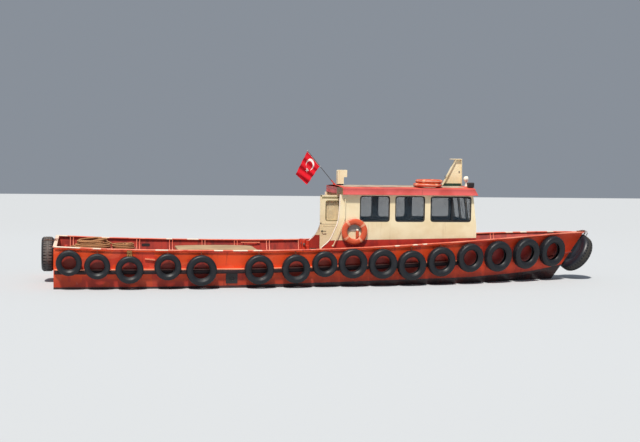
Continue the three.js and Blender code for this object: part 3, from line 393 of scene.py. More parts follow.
class Paint:
    """A Principled material and the few node chains that its looks are made of."""

    def __init__(self, name, color, roughness=0.5, metallic=0.0, specular=0.5):
        self.material = bpy.data.materials.new(name)
        self.material.use_nodes = True
        self.tree = self.material.node_tree
        self.shader = self.tree.nodes["Principled BSDF"]
        self.feed("Base Color", (*color, 1))
        self.feed("Roughness", roughness)
        self.feed("Metallic", metallic)
        self.feed("Specular IOR Level", specular)
        self.place = self.node("ShaderNodeTexCoord", {}).outputs["Object"]
        self.material.diffuse_color = (*color, 1)

    def node(self, kind, sockets, **values):
        made = self.tree.nodes.new(kind)
        for key, value in values.items():
            setattr(made, key, value)
        for name, source in sockets.items():
            self.link(source, made.inputs[name])
        return made

    def link(self, source, socket):
        if isinstance(source, bpy.types.NodeSocket):
            self.tree.links.new(source, socket)
        else:
            socket.default_value = source

    def feed(self, name, source):
        self.link(source, self.shader.inputs[name])

    def mapped(self, scale, seed=0.0):
        """Coordinates stretched by three factors and moved on, so that patterns run long and differ."""
        return self.node("ShaderNodeMapping", {
            "Vector": self.place, "Scale": scale,
            "Location": (seed, seed * 1.7, seed * 0.6)}).outputs["Vector"]

    def noise(self, scale, detail=3.0, rough=0.55, stretch=None, seed=0.0):
        place = self.mapped(stretch or (1, 1, 1), seed) if stretch or seed else self.place
        return self.node("ShaderNodeTexNoise", {
            "Scale": scale, "Detail": detail, "Roughness": rough, "Vector": place}).outputs["Fac"]

    def attribute(self, name):
        return self.node("ShaderNodeAttribute", {}, attribute_name=name).outputs["Fac"]

    def axis(self, name):
        return self.node("ShaderNodeSeparateXYZ", {"Vector": self.place}).outputs[name]

    def math(self, kind, a, b=0.0):
        return self.node("ShaderNodeMath", {0: a, 1: b}, operation=kind).outputs["Value"]

    def times(self, a, b):
        return self.math("MULTIPLY", a, b)

    def plus(self, a, b):
        return self.math("ADD", a, b)

    def minus(self, a, b):
        return self.math("SUBTRACT", a, b)

    def window(self, value, low, high):
        """0 below low and 1 above high, or the other way round where low is the larger."""
        turned = low > high
        return self.node("ShaderNodeMapRange", {
            "Value": value, "From Min": min(low, high), "From Max": max(low, high),
            "To Min": float(turned), "To Max": float(not turned)},
            interpolation_type="SMOOTHSTEP").outputs["Result"]

    def blotches(self, low, high, *pattern, **more):
        """A noise pattern cut to soft-edged blotches between two levels."""
        return self.window(self.noise(*pattern, **more), low, high)

    def curve(self, value, points, high):
        """A height that follows value through (value, height) points; no height is over high."""
        first, last = points[0][0], points[-1][0]
        spread = self.node("ShaderNodeMapRange", {"Value": value, "From Min": first, "From Max": last})
        ramp = self.node("ShaderNodeValToRGB", {"Fac": spread.outputs["Result"]})
        stops = ramp.color_ramp.elements
        while len(stops) < len(points):
            stops.new(0.5)
        for stop, (at, height) in zip(stops, points):
            stop.position = (at - first) / (last - first)
            stop.color = (*[height / high] * 3, 1)
        return self.node("ShaderNodeMapRange",
                         {"Value": ramp.outputs["Color"], "To Max": high}).outputs["Result"]

    def mix(self, share, a, b):
        a, b = [source if isinstance(source, bpy.types.NodeSocket) else (*source, 1) for source in (a, b)]
        return self.node("ShaderNodeMix", {0: share, 6: a, 7: b}, data_type="RGBA").outputs[2]

    def over(self, colour, mask, share, tone):
        """A colour with a share of another tone laid over it where a mask says."""
        return self.mix(self.times(mask, share), colour, tone)

    def finish(self, colour, height, strength, distance):
        self.feed("Base Color", colour)
        self.feed("Normal", self.node("ShaderNodeBump", {
            "Strength": strength, "Distance": distance, "Height": height}).outputs["Normal"])
        return self.material


# Paints, each with its own wear
BRIGHT_RED = srgb(226, 76, 30)
DEEP_RED = srgb(196, 54, 36)
PATCH_RED = srgb(190, 52, 44)
DARK_RED = srgb(120, 34, 30)
RUST = srgb(116, 58, 38)
WET_BROWN = srgb(54, 42, 44)
SALT = srgb(226, 214, 204)
CREAM, STAINED_CREAM, FOOT_RED = srgb(236, 223, 188), srgb(224, 206, 166), srgb(186, 50, 36)
WING_OUTSIDE_X = 0.268
BASE_BAND = Sizes(x0=-0.28, z0=1.236, x1=3.95, z1=1.31)
BOOT_TOP = [(-7.9, 0.06), (-4.84, 0.06), (-2.67, 0.08), (1.63, 0.165), (3.82, 0.185), (5.07, 0.235),
            (5.78, 0.265),
            (6.38, 0.33), (6.86, 0.41), (7.9, 0.55)]


def patches(p, stretch, share):
    """Straight-edged fields, painted over at other times, as a mask."""
    fields = p.node("ShaderNodeTexVoronoi", {"Scale": 1.0, "Randomness": 0.85, "Vector": p.mapped(stretch)},
                    distance="CHEBYCHEV")
    parts = p.node("ShaderNodeSeparateColor", {"Color": fields.outputs["Color"]})
    return p.window(parts.outputs["Red"], 1 - share - 0.02, 1 - share + 0.02)


def hull_material():
    p = Paint("hull_paint", BRIGHT_RED, 0.46, specular=0.3)
    x, z = p.axis("X"), p.axis("Z")
    drift = p.times(p.minus(p.noise(1.1, 3), 0.5), 3.0)
    # Deeper red towards the bow: painted shade, where the bow's side turns away from the light
    colour = p.over(BRIGHT_RED, p.window(p.plus(x, drift), 1.0, 5.0), 0.50, DEEP_RED)
    colour = p.over(colour, patches(p, (1.5, 0.0, 3.1), 0.30), 0.62, PATCH_RED)
    colour = p.over(colour, patches(p, (1.9, 0.0, 4.3), 0.16), 0.22, srgb(240, 120, 84))
    blotch = p.blotches(0.52, 0.72, 4.5, 5, 0.62, seed=2.0)
    colour = p.over(colour, blotch, 0.35, DEEP_RED)
    streaks = p.blotches(0.56, 0.74, 1.0, 4, 0.6, stretch=(11, 11, 0.9), seed=4.0)
    colour = p.over(colour, streaks, 0.50, DARK_RED)
    rust = p.blotches(0.64, 0.72, 9.0, 6, 0.7, stretch=(1, 1, 0.5), seed=7.0)
    colour = p.over(colour, rust, 0.7, RUST)
    salt = p.blotches(0.60, 0.78, 14, 5, 0.65, stretch=(1, 1, 0.35), seed=9.0)
    colour = p.over(colour, p.times(salt, p.window(z, 0.62, 0.30)), 0.28, SALT)
    # Dark maroon inside each tyre's circle: the tyre's shadow, painted on the plating
    colour = p.over(colour, p.attribute("tyre_shade"), 0.70, srgb(104, 34, 40))
    # Darker red low on the sides: partly dirt, partly painted shade under the strake and the tyres
    low = p.window(p.plus(z, p.times(p.noise(2.2, 4, seed=5.0), 0.34)), 0.62, 0.36)
    colour = p.over(colour, low, 0.55, DARK_RED)
    # The wet band along the waterline, with a ragged upper edge
    ragged = p.times(p.minus(p.noise(7, 4), 0.5), 0.03)
    wet = p.window(p.minus(z, p.plus(p.curve(x, BOOT_TOP, 0.6), ragged)), 0.006, -0.008)
    bottom = p.mix(p.blotches(0.45, 0.7, 2.6, 4, seed=6.0), WET_BROWN, srgb(80, 44, 42))
    p.feed("Roughness", p.minus(p.plus(p.times(blotch, 0.12), 0.44), p.times(wet, 0.18)))
    wavy = p.times(p.noise(1.6, 2, stretch=(1, 1, 1.4), seed=8.0), 3.0)
    fine = p.times(p.noise(38, 4, 0.6), 0.22)
    return p.finish(p.mix(wet, colour, bottom), p.plus(wavy, p.plus(fine, p.times(rust, 0.3))), 0.35, 0.006)


def inside_material():
    p = Paint("bulwark_inside", srgb(176, 62, 48), 0.55)
    colour = p.mix(p.blotches(0.38, 0.64, 2.4, 4), srgb(176, 58, 44), srgb(136, 44, 40))
    streaks = p.blotches(0.50, 0.72, 1.0, 5, 0.62, stretch=(9, 9, 1.2), seed=3.0)
    colour = p.over(colour, streaks, 0.6, srgb(92, 40, 34))
    colour = p.over(colour, p.blotches(0.60, 0.70, 8.0, 6, 0.7, seed=6.0), 0.7, RUST)
    return p.finish(colour, p.noise(26, 4, 0.6), 0.25, 0.004)


def deck_material():
    p = Paint("deck_paint", srgb(150, 58, 46), 0.7)
    colour = p.mix(p.blotches(0.36, 0.66, 1.5, 5, 0.6), srgb(158, 60, 46), srgb(112, 46, 40))
    colour = p.over(colour, p.blotches(0.58, 0.70, 4.0, 6, 0.7, seed=2.0), 0.7, srgb(104, 84, 72))
    colour = p.over(colour, p.blotches(0.60, 0.74, 9.0, 5, 0.6, seed=5.0), 0.6, srgb(52, 40, 38))
    return p.finish(colour, p.noise(150, 2, 0.6), 0.5, 0.003)


def rail_material():
    """Faded red that is worn to the white under it, most where the marked spans lie."""
    p = Paint("rail_paint", srgb(228, 116, 92), 0.5)
    fine = p.noise(16, 5, 0.66, stretch=(1, 1.6, 1))
    colour = p.mix(p.blotches(0.4, 0.62, 2.2, 4), srgb(226, 104, 78), srgb(236, 142, 116))
    colour = p.over(colour, p.blotches(0.56, 0.68, 3.4, 4, seed=4.0), 0.8, srgb(196, 56, 40))
    bare = p.window(p.plus(p.times(p.attribute("worn"), 0.42), fine), 0.72, 0.82)
    colour = p.mix(bare, colour, srgb(242, 220, 198))
    colour = p.over(colour, p.blotches(0.66, 0.74, 11, 6, 0.7, seed=8.0), 0.75, srgb(128, 62, 40))
    return p.finish(colour, p.plus(p.times(bare, -0.6), p.times(fine, 0.3)), 0.4, 0.003)


def plain_red(name, base):
    """Red paint with chips, rust and dirt, for small ironwork and the flats along the strakes, with painted
    shade behind the tyres.
    """
    p = Paint(name, base, 0.45)
    colour = p.mix(p.blotches(0.40, 0.66, 3.0, 4), base, darker(base, 0.82))
    chips = p.blotches(0.62, 0.68, 22, 6, 0.7, seed=3.0)
    colour = p.over(colour, chips, 0.8, RUST)
    streaks = p.blotches(0.55, 0.72, 1.0, 4, 0.6, stretch=(10, 10, 1.0), seed=5.0)
    colour = p.over(colour, streaks, 0.5, darker(base, 0.55))
    # Painted shade of the tyres on the strakes' flats
    colour = p.over(colour, p.attribute("tyre_shade"), 0.88, srgb(62, 30, 34))
    return p.finish(colour, p.minus(p.times(p.noise(30, 3), 0.3), chips), 0.3, 0.003)


def strake_material():
    p = Paint("strake_rubber_paint", srgb(44, 30, 34), 0.62, specular=0.3)
    scuffs = p.blotches(0.56, 0.72, 1.0, 5, 0.65, stretch=(3, 3, 16))
    return p.finish(p.over(srgb(44, 30, 34), scuffs, 0.55, srgb(92, 62, 58)), p.noise(24, 4, 0.6), 0.3, 0.004)


def tyre_material():
    """Black rubber, tinted a little blue as a painted sheen of the sky, with salt and dust in blotches."""
    p = Paint("tyre_rubber", (0.012, 0.015, 0.020), 0.5, specular=0.35)
    dusty = p.blotches(0.50, 0.72, 5.0, 5, 0.62)
    colour = p.over((0.010, 0.012, 0.016), dusty, 0.55, (0.024, 0.025, 0.030))
    colour = p.over(colour, p.blotches(0.62, 0.72, 17, 5, 0.66, seed=4.0), 0.5, (0.007, 0.008, 0.010))
    p.feed("Roughness", p.plus(p.times(dusty, 0.22), 0.45))
    return p.finish(colour, p.noise(60, 3, 0.6), 0.25, 0.002)


def big_tyre_material(name, tread, sidewall_and_groove_shade, dark_from, dark_to):
    """A large old tyre: its tread is grey-brown with dirt, its sunk grooves get a painted shade, its side
    faces the black of the rubber, and it is darker towards the bottom, which on the bow tyre is painted
    shade.
    """
    p = Paint(name, tread, 0.75)
    colour = p.mix(p.blotches(0.42, 0.66, 4.0, 5, 0.62), tread, darker(tread, 0.62))
    # Sunk grooves take the dark tone as painted shade; the side faces take it as the rubber's black
    colour = p.mix(p.attribute("sidewall_and_groove_shade"), colour, sidewall_and_groove_shade)
    # Darker towards the bottom; on the bow tyre this is painted shade on the lower sidewall
    low = p.window(p.plus(p.axis("Z"), p.times(p.noise(4.0, 4, seed=3.0), 0.2)), dark_from, dark_to)
    p.feed("Roughness", p.minus(0.78, p.times(low, 0.35)))
    return p.finish(p.over(colour, low, 0.80, srgb(26, 30, 40)), p.noise(45, 4, 0.65), 0.4, 0.003)


def base_band(p):
    """1 under the line that parts the red foot of the wheelhouse from its cream."""
    b = BASE_BAND
    slope = (b.z1 - b.z0) / (b.x1 - b.x0)
    line = p.plus(p.times(p.axis("X"), slope), b.z0 - b.x0 * slope)
    return p.window(p.minus(p.axis("Z"), line), 0.002, -0.002)


def cream_material(name, banded):
    """Cream paint with faint stains, runs and fine chips; banded, its foot is red."""
    p = Paint(name, CREAM, 0.42)
    colour = p.mix(p.blotches(0.38, 0.68, 1.3, 4), CREAM, STAINED_CREAM)
    runs = p.blotches(0.56, 0.76, 1.0, 5, 0.62, stretch=(13, 13, 0.8), seed=2.0)
    colour = p.over(colour, runs, 0.34, srgb(176, 138, 92))
    chips = p.blotches(0.70, 0.75, 26, 6, 0.72, seed=5.0)
    colour = p.over(colour, chips, 0.45, srgb(170, 124, 82))
    if banded:
        red = p.mix(p.blotches(0.42, 0.68, 3.0, 5, 0.62, seed=6.0), FOOT_RED, srgb(146, 38, 32))
        colour = p.mix(base_band(p), colour, p.over(red, chips, 0.6, RUST))
    wavy = p.times(p.noise(2.6, 2, seed=7.0), 1.2)
    return p.finish(colour, p.plus(wavy, p.times(p.noise(55, 3, 0.6), 0.12)), 0.22, 0.005)


def lining_material():
    """The wheelhouse inside: boards painted nearly black as the shade inside the house; aft of the bulkhead
    the wings are painted as outside.
    """
    p = Paint("inner_lining", srgb(36, 30, 30), 0.6)
    grain = p.blotches(0.40, 0.66, 1.0, 5, 0.6, stretch=(3, 3, 26))
    # Near-black boards: painted shade of the dim inside
    boards = p.mix(grain, srgb(38, 31, 30), srgb(22, 19, 20))
    shade = p.blotches(0.38, 0.68, 1.3, 4)
    wing = p.mix(base_band(p), p.mix(shade, CREAM, STAINED_CREAM), p.mix(shade, FOOT_RED, srgb(140, 38, 32)))
    inside = p.window(p.axis("X"), WING_OUTSIDE_X - 0.002, WING_OUTSIDE_X + 0.002)
    return p.finish(p.mix(inside, wing, boards), grain, 0.2, 0.002)


def roof_top_material():
    """Red round the edge of the roof, a worn grey-beige anti-slip field in its middle."""
    p = Paint("roof_top_paint", srgb(178, 160, 140), 0.75)
    ragged = p.times(p.minus(p.noise(9, 4), 0.5), 0.03)
    across = p.plus(p.math("ABSOLUTE", p.axis("Y")), ragged)
    x = p.plus(p.axis("X"), ragged)
    ends = p.math("MAXIMUM", p.window(x, 0.155, 0.145), p.window(x, 3.72, 3.73))
    margin = p.math("MAXIMUM", p.window(across, 0.795, 0.805), ends)
    field = p.mix(p.blotches(0.40, 0.66, 3.0, 5, 0.62), srgb(184, 166, 146), srgb(140, 122, 106))
    red = p.mix(p.blotches(0.40, 0.68, 2.5, 4, seed=4.0), srgb(206, 84, 66), srgb(170, 62, 50))
    return p.finish(p.mix(margin, field, red), p.noise(170, 2, 0.6), 0.35, 0.002)


def fascia_material():
    """Coral red, faded; the starboard third of the aft face is painted olive-brown as shade."""
    p = Paint("roof_paint", srgb(214, 88, 78), 0.5)
    colour = p.mix(p.blotches(0.38, 0.66, 2.0, 4), srgb(214, 94, 90), srgb(196, 76, 70))
    runs = p.blotches(0.58, 0.76, 1.0, 5, 0.62, stretch=(12, 12, 1.5), seed=3.0)
    colour = p.over(colour, runs, 0.5, srgb(120, 50, 44))
    # Painted shade: olive-brown over the starboard third of the aft face
    aft = p.times(p.window(p.axis("X"), 0.03, 0.02), p.window(p.axis("Y"), -0.39, -0.41))
    return p.finish(p.mix(aft, colour, srgb(128, 104, 66)), p.noise(40, 4, 0.6), 0.15, 0.003)


def simple(name, rgb, rough=0.5, spread=0.7, bump=0.15):
    """One colour with a darker tone in blotches and fine specks, for small pieces."""
    base = srgb(*rgb)
    p = Paint(name, base, rough)
    colour = p.mix(p.blotches(0.38, 0.68, 6, 5, 0.62), base, darker(base, spread))
    colour = p.over(colour, p.blotches(0.64, 0.72, 42, 5, 0.7, seed=3.0), 0.5, darker(base, spread * 0.5))
    return p.finish(colour, p.noise(54, 3, 0.6), bump, 0.002)


def fibre(name, rgb, scale):
    """Rope yarn: fine slanting fibres with painted shade between them, and dirt in blotches."""
    base = srgb(*rgb)
    p = Paint(name, base, 0.9, specular=0.2)
    yarn = p.noise(scale, 3, 0.6)
    # A fine noise darkens the yarn: painted shade between the fibres
    colour = p.mix(p.window(yarn, 0.36, 0.62), darker(base, 0.55), base)
    colour = p.over(colour, p.blotches(0.48, 0.70, 3.0, 5, 0.6, seed=2.0), 0.55, darker(base, 0.42))
    return p.finish(colour, yarn, 0.5, 0.004)


def cloth_material(name, rgb, weave, stains):
    base = srgb(*rgb)
    p = Paint(name, base, 0.88, specular=0.2)
    colour = p.mix(p.blotches(0.36, 0.66, 1.8, 5, 0.6), base, darker(base, 0.78))
    colour = p.over(colour, p.blotches(0.56, 0.72, 5.0, 6, 0.66, seed=3.0), stains, darker(base, 0.5))
    return p.finish(colour, p.noise(weave, 2, 0.5), 0.3, 0.001)


def metal_material(name, rgb, rough, rust_share):
    base = srgb(*rgb)
    p = Paint(name, base, rough, 0.85)
    rust = p.blotches(0.66 - rust_share * 0.25, 0.76 - rust_share * 0.25, 12, 6, 0.7)
    p.feed("Metallic", p.minus(0.85, p.times(rust, 0.8)))
    p.feed("Roughness", p.plus(p.times(rust, 0.4), rough))
    return p.finish(p.mix(rust, base, srgb(122, 68, 44)), p.noise(50, 4, 0.6), 0.25, 0.002)


def glass_material(name, tint, clear):
    """Tinted window glass with a film of salt; clear is the share that shows what lies behind."""
    p = Paint(name, tint, 0.05)
    film = p.blotches(0.45, 0.80, 3.0, 5, 0.62)
    p.feed("Base Color", p.over(tint, film, 0.30, srgb(120, 128, 132)))
    p.feed("Alpha", p.plus(p.times(film, 0.06), 1 - clear))
    p.feed("Roughness", p.plus(p.times(film, 0.15), 0.04))
    return p.material


# Mooring rope: one rope, made fast to the stern bitt and wound into a large and a small coil on the trunk
ROPE_D = 0.048
ROPE_STEP = 0.014
LAY_LENGTH = 0.154
TRUNK_TOP = 0.93
COIL_FOOT = TRUNK_TOP + SEAT + ROPE_D / 2
LEAD = [(-7.6, 0.1954, 0.76), (-7.6, 0.218, 0.76), (-7.588, 0.268, 0.786), (-7.55, 0.304, 0.85),
        (-7.5, 0.323, 0.922),
        (-7.436, 0.333, 0.963), (-7.36, 0.339, 0.963), (-7.27, 0.342, 0.9546), (-7.104, 0.343, 0.9539)]
LARGE_COIL = Sizes(x=-6.88, y=-0.15, inner=0.344, outer=0.488, layers=3)
SMALL_COIL = Sizes(x=-6.0237, y=-0.05, inner=0.216, outer=0.312, layers=2)
EYE = Sizes(x=SMALL_COIL.x + 0.115, y=SMALL_COIL.y - 0.06, r=0.12)
TURN_POINTS = 40
# Radii of the free turns on each coil, one for each half turn, and the way from coil to coil
LOOSE_LARGE = [0.488, 0.33, 0.47, 0.26, 0.40, 0.34, 0.48, 0.30, 0.44]
LOOSE_SMALL = [0.312, 0.25, 0.27]
CROSSING = [(-6.80, 0.285), (-6.70, 0.285), (-6.60, 0.283), (-6.50, 0.278), (-6.42, 0.272), (-6.33, 0.266),
            (-6.24, 0.262), (-6.14, 0.262)]


def wound(coil, wander, seed):
    """Layers of turns going in and out by turns, clockwise seen from above. Neighbours stray together."""
    across = int(round((coil.outer - coil.inner) / ROPE_D))
    points = []
    for layer in range(coil.layers):
        first, last = (coil.inner, coil.outer) if layer % 2 else (coil.outer, coil.inner)
        whole = across if layer == coil.layers - 1 else across + 1
        for k in range(whole * TURN_POINTS):
            turns = k / TURN_POINTS
            angle = pi / 2 - 2 * pi * turns
            r = lerp(first, last, min(turns / across, 1)) + wander * stray(angle, 1.3, seed)
            z = COIL_FOOT + (layer + smooth(across + 0.72, across + 1, turns)) * ROPE_D * 0.985
            points.append((coil.x + r * cos(angle), coil.y + r * sin(angle), z))
    return points


def loose(coil, radii, top, wobble, seed):
    """Free turns: the radius runs through the listed values, one for each half turn."""
    out = []
    for k in range(1, (len(radii) - 1) * TURN_POINTS // 2 + 1):
        t = k / (TURN_POINTS // 2)
        angle = pi / 2 - pi * t
        r = float(np.interp(t, range(len(radii)), radii)) + wobble * stray(angle, 2, seed)
        out.append((coil.x + r * cos(angle), coil.y + r * sin(angle), top))
    return out


def laid(path, fixed, reach=6):
    """Lets the points after the fixed ones rest on what lies below them, one rope's width apart."""
    path = np.array(path, float)
    need = path[:, 2].copy()
    for i in range(fixed, len(path)):
        below = path[:max(i - reach, 1)].copy()
        below[:, 2] = need[:len(below)]
        h = np.linalg.norm(below[:, :2] - path[i, :2], axis=1)
        near = h < ROPE_D * 0.98
        need[i] = COIL_FOOT
        if near.any():
            need[i] = max(COIL_FOOT,
                          float((below[near, 2] + np.sqrt((ROPE_D * 0.98) ** 2 - h[near] ** 2)).max()))
    lifted = np.array([need[max(0, i - 2):i + 3].max() for i in range(len(need))])
    for _ in range(10):
        lifted[1:-1] = (lifted[:-2] + 2 * lifted[1:-1] + lifted[2:]) / 4
    keep = smooth(fixed - 1, fixed + 14, np.arange(len(path)))
    path[:, 2] = lerp(path[:, 2], np.maximum(lifted, need - 0.003), keep)
    return path


def rope_route():
    route = [*map(tuple, catmull(LEAD, 8)), *wound(LARGE_COIL, 0.010, 3.0)]
    fixed, top = len(route), route[-1][2]
    route += loose(LARGE_COIL, LOOSE_LARGE, top, 0.10, 5.0) + [(x, y, top) for x, y in CROSSING]
    first_small = len(route)
    route += wound(SMALL_COIL, 0.006, 8.0)
    after_small = len(route)
    route += loose(SMALL_COIL, LOOSE_SMALL, top, 0.03, 9.0)
    # The eye: round its ring and back to its own throat
    begin, turn, steps = radians(150), radians(318), 30
    ring = [(EYE.x + EYE.r * cos(a), EYE.y + EYE.r * sin(a), top)
            for a in (begin - turn * k / steps for k in range(steps + 1))]
    x0, y0 = route[-1][:2]
    for k in range(1, 8):
        t = k / 8
        route.append((lerp(x0, ring[0][0], t), lerp(y0, ring[0][1], t) + sin(pi * t) * 0.05, top))
    route += ring
    done = np.concatenate([laid(route[:first_small], fixed), arr(route[first_small:after_small])])
    return laid(np.concatenate([done, arr(route[after_small:])]), after_small)


def rope_surface(path, sides=12):
    """Three strands laid round each other, as one lobed tube that turns along the path."""
    u, v = frames_along(path)
    step = np.concatenate([[0], np.cumsum(np.linalg.norm(np.diff(path, axis=0), axis=1))])
    a = around(sides)
    r = ROPE_D / 2 * (0.80 + 0.20 * np.abs(np.cos(1.5 * a)) ** 0.8)
    twist = a[None] + (2 * np.pi * step / LAY_LENGTH)[:, None]
    return loft(path[:, None] + r[None, :, None] * (
        np.cos(twist)[..., None] * u[:, None] + np.sin(twist)[..., None] * v[:, None]))


def make_rope(yarn):
    route = even(rope_route(), ROPE_STEP)
    route[1:-1] = (route[:-2] + 2 * route[1:-1] + route[2:]) / 4
    rope = Shape(rope_surface(route)).piece("mooring_rope", "rope", yarn,
                                            "rope_lead rope_coil_large rope_coil_small",
                                            sharp=180)
    # The eye made fast round the port post of the stern bitt, and the thick of the splice at the free end
    eye = hoop(lambda p, q: (-7.6 + p, 0.15 + q, 0.76 + q * 0.012 / 0.070), 0.070, 0.0235, 48, 12)
    loop = Shape(eye).piece("rope_post_eye", "rope", yarn)
    tail = route[-26:]
    sleeve = tube(tail, 0.029 * np.sin(np.linspace(0.25, 1, len(tail)) * pi / 2), 14)
    splice = Shape(sleeve).piece("rope_splice", "rope", yarn)


# Camera as the photograph was taken, plain soft light and a pale floor at the waterline
PHOTO_WIDTH = 640
FOCAL_PIXELS = 1229.64
SENSOR = 36.0
CAMERA_AT = (-7.15, -34.943, 3.858)
CAMERA_YAW = radians(10.945)
CAMERA_PITCH = radians(3.444)
CAMERA_ROLL = radians(0.874)
SUN_ELEVATION = radians(62)
SUN_AFT = radians(22)
SKY_BLUE = (0.80, 0.89, 1.0)
FLOOR_HALF = 60


def place_in_scene(name, data):
    made = bpy.data.objects.new(name, data)
    bpy.context.scene.collection.objects.link(made)
    return made


def set_camera():
    y, p, r = CAMERA_YAW, CAMERA_PITCH, CAMERA_ROLL
    forward = Vector((sin(y) * cos(p), cos(y) * cos(p), -sin(p)))
    right = Vector((cos(y), -sin(y), 0))
    up = right.cross(forward)
    data = bpy.data.cameras.new("photo_camera")
    data.sensor_width = SENSOR
    data.lens = SENSOR * FOCAL_PIXELS / PHOTO_WIDTH
    data.clip_end = 500
    camera = place_in_scene("photo_camera", data)
    turn = Matrix((right * cos(r) + up * sin(r), up * cos(r) - right * sin(r),
                   -forward)).transposed().to_4x4()
    camera.matrix_world = Matrix.Translation(CAMERA_AT) @ turn
    bpy.context.scene.camera = camera


def light(name, kind, energy, color, place, aim, **values):
    data = bpy.data.lights.new(name, kind)
    for key, value in {"energy": energy, "color": color, **values}.items():
        setattr(data, key, value)
    lamp = place_in_scene(name, data)
    lamp.location = place
    lamp.rotation_mode = "QUATERNION"
    lamp.rotation_quaternion = (Vector(aim) - Vector(place)).to_track_quat("-Z", "Y")


def set_light():
    flat = cos(SUN_ELEVATION)
    sun = Vector((-sin(SUN_AFT) * flat, -cos(SUN_AFT) * flat, sin(SUN_ELEVATION)))
    light("sun", "SUN", 4.6, (1.0, 0.94, 0.86), sun * 30, (0, 0, 0), angle=radians(4))
    light("fill", "AREA", 190, SKY_BLUE, (0, -14, 16), (0, 0, 1), shape="RECTANGLE", size=22, size_y=12)
    light("far_fill", "AREA", 170, SKY_BLUE, (0, 16, 12), (0, 0, 1), shape="RECTANGLE", size=22, size_y=10)
    world = bpy.data.worlds.new("studio")
    world.use_nodes = True
    sky = world.node_tree.nodes["Background"]
    sky.inputs["Color"].default_value = (0.78, 0.87, 1.0, 1)
    sky.inputs["Strength"].default_value = 0.32
    bpy.context.scene.world = world
    bpy.context.scene.view_settings.view_transform = "Standard"


def set_floor():
    mesh = bpy.data.meshes.new("floor")
    corners = [(x, y, 0) for y in (-FLOOR_HALF, FLOOR_HALF) for x in (-FLOOR_HALF, FLOOR_HALF)]
    mesh.from_pydata(corners, [], [(0, 1, 3, 2)])
    mesh.materials.append(Paint("pale_floor", (0.50, 0.53, 0.56), 0.8).material)
    place_in_scene("floor", mesh)


# Hull, deck, bulwark and rail
FLIP = (1, -1, 1)
ENGINE_ROOM = Sizes(x0=-4.38, x1=-2.44, half=0.56, floor=-0.2)
FORE_LOCKER = Sizes(x0=4.5, x1=5.0, half=0.25, floor=0.3)
KNEES = Sizes(first=-7.46, last=6.0, step=0.97, pair=0.044, skip_from=1.9, skip_to=4.4, foot=0.12, head=0.05,
              half=0.004, flat_half=0.011, flat_thick=0.005)
INNER_END = 0.988
OUTER_POINTS = 10
STRAKE = Sizes(end_x=3.45, low=0.4, rise=0.15, rise_from=-3.0, sweep=1.4, high=0.145, thick=0.09, flat=0.03)
SHEER_BAR = Sizes(drop=0.062, half=0.012, off=0.0009)
SIDE_BAR = [(-5.52, 0.80), (-5.25, 0.77), (-5.25, 0.805), (-5.52, 0.835)]
FENDER_GROUPS = {"aft": (0.002, 0.479), "forward": (0.481, 0.943)}
OUTLET = Sizes(x=-3.175, half=0.160, low=0.125, mouth=0.07, thick=0.016)
# Where the rail's paint is worn off to the white under it, from X to X on each side
WORN_RAIL = {
    -1: [(-7.9, -7.2), (-6.9, -6.7), (-5.23, -4.91), (-3.67, -3.43), (-3.16, -2.77), (-2.58, -2.36),
         (1.44, 1.55),
         (1.97, 2.09), (2.27, 2.39)],
    1: [(-7.9, -7.6), (-6.58, -6.38), (-4.69, -4.52), (-4.07, -3.74), (5.56, 5.76), (5.99, 6.15),
        (6.71, 6.88)],
}


def hull_shares(step):
    return np.linspace(0, 1, int(LENGTH / step) + 1)


def tub(box, top, wall=0.012):
    """An open-topped box of thin plates."""
    x0, x1, y, z = box.x0, box.x1, box.half, box.floor
    spans = [(x0 - wall, x1 + wall, -y, y, z - wall, z), (x0 - wall, x0, -y, y, z, top),
             (x1, x1 + wall, -y, y, z, top), (x0 - wall, x1 + wall, -y - wall, -y, z - wall, top),
             (x0 - wall, x1 + wall, y, y + wall, z - wall, top)]
    return [block(*span, 0.001) for span in spans]


def tyre_shade_mark(co):
    """1 inside each tyre's circle, where the tyre's shadow is painted darker on the plating, 0 away from the
    tyres.
    """
    return max(smooth(0.96 * r, 0.80 * r, hypot(co.x - x, co.z - z)) for x, z, r in SIDE_TYRES)


def make_hull(paint):
    rings = []
    for share in hull_shares(0.045):
        keel = arr((line_x(share, STEM_KEEL_X), KEEL_HALF, column("keel_z", share)))
        chine, top = side(share, 0), deck_z(share) - DECK_PLATE
        points = [lerp(keel, chine, t) for t in np.linspace(0, 1, 9)[:-1]]
        points += [side_at_z(share, lerp(chine[2], top, t)) for t in np.linspace(0, 1, 22)]
        rings.append(points + [p * FLIP for p in reversed(points)])
    rooms = [wall for box in (ENGINE_ROOM, FORE_LOCKER) for wall in tub(box, DECK_Z - DECK_PLATE)]
    rudder_boss = post(RUDDER.x, 0, RUDDER.boss, 0, 0.06, 32)
    piece = Shape(loft(rings), *rooms, rudder_boss).piece("hull_shell", "hull_red", paint, "hull", sharp=20)
    mark(piece, "tyre_shade", tyre_shade_mark)


def make_deck(paint):
    """The deck is a plate with two openings, laid between the sides."""
    edge = [side_at_z(share, deck_z(share)) - (0, 0.004, 0) for share in hull_shares(0.25)]
    outline = [(x, y) for x, y, _ in edge] + [(x, -y) for x, y, _ in reversed(edge)]
    holes = [oblong(b.x0, b.x1, -b.half, b.half) for b in (ENGINE_ROOM, FORE_LOCKER)]

    def on_deck(p, q, d):
        return (p, q, deck_z((p - TRANSOM_X) / LENGTH) + d)

    Shape(plate(outline, on_deck, -DECK_PLATE, 0, holes)).piece("deck_plating", "deck_red", paint, "deck",
                                                                sharp=30)


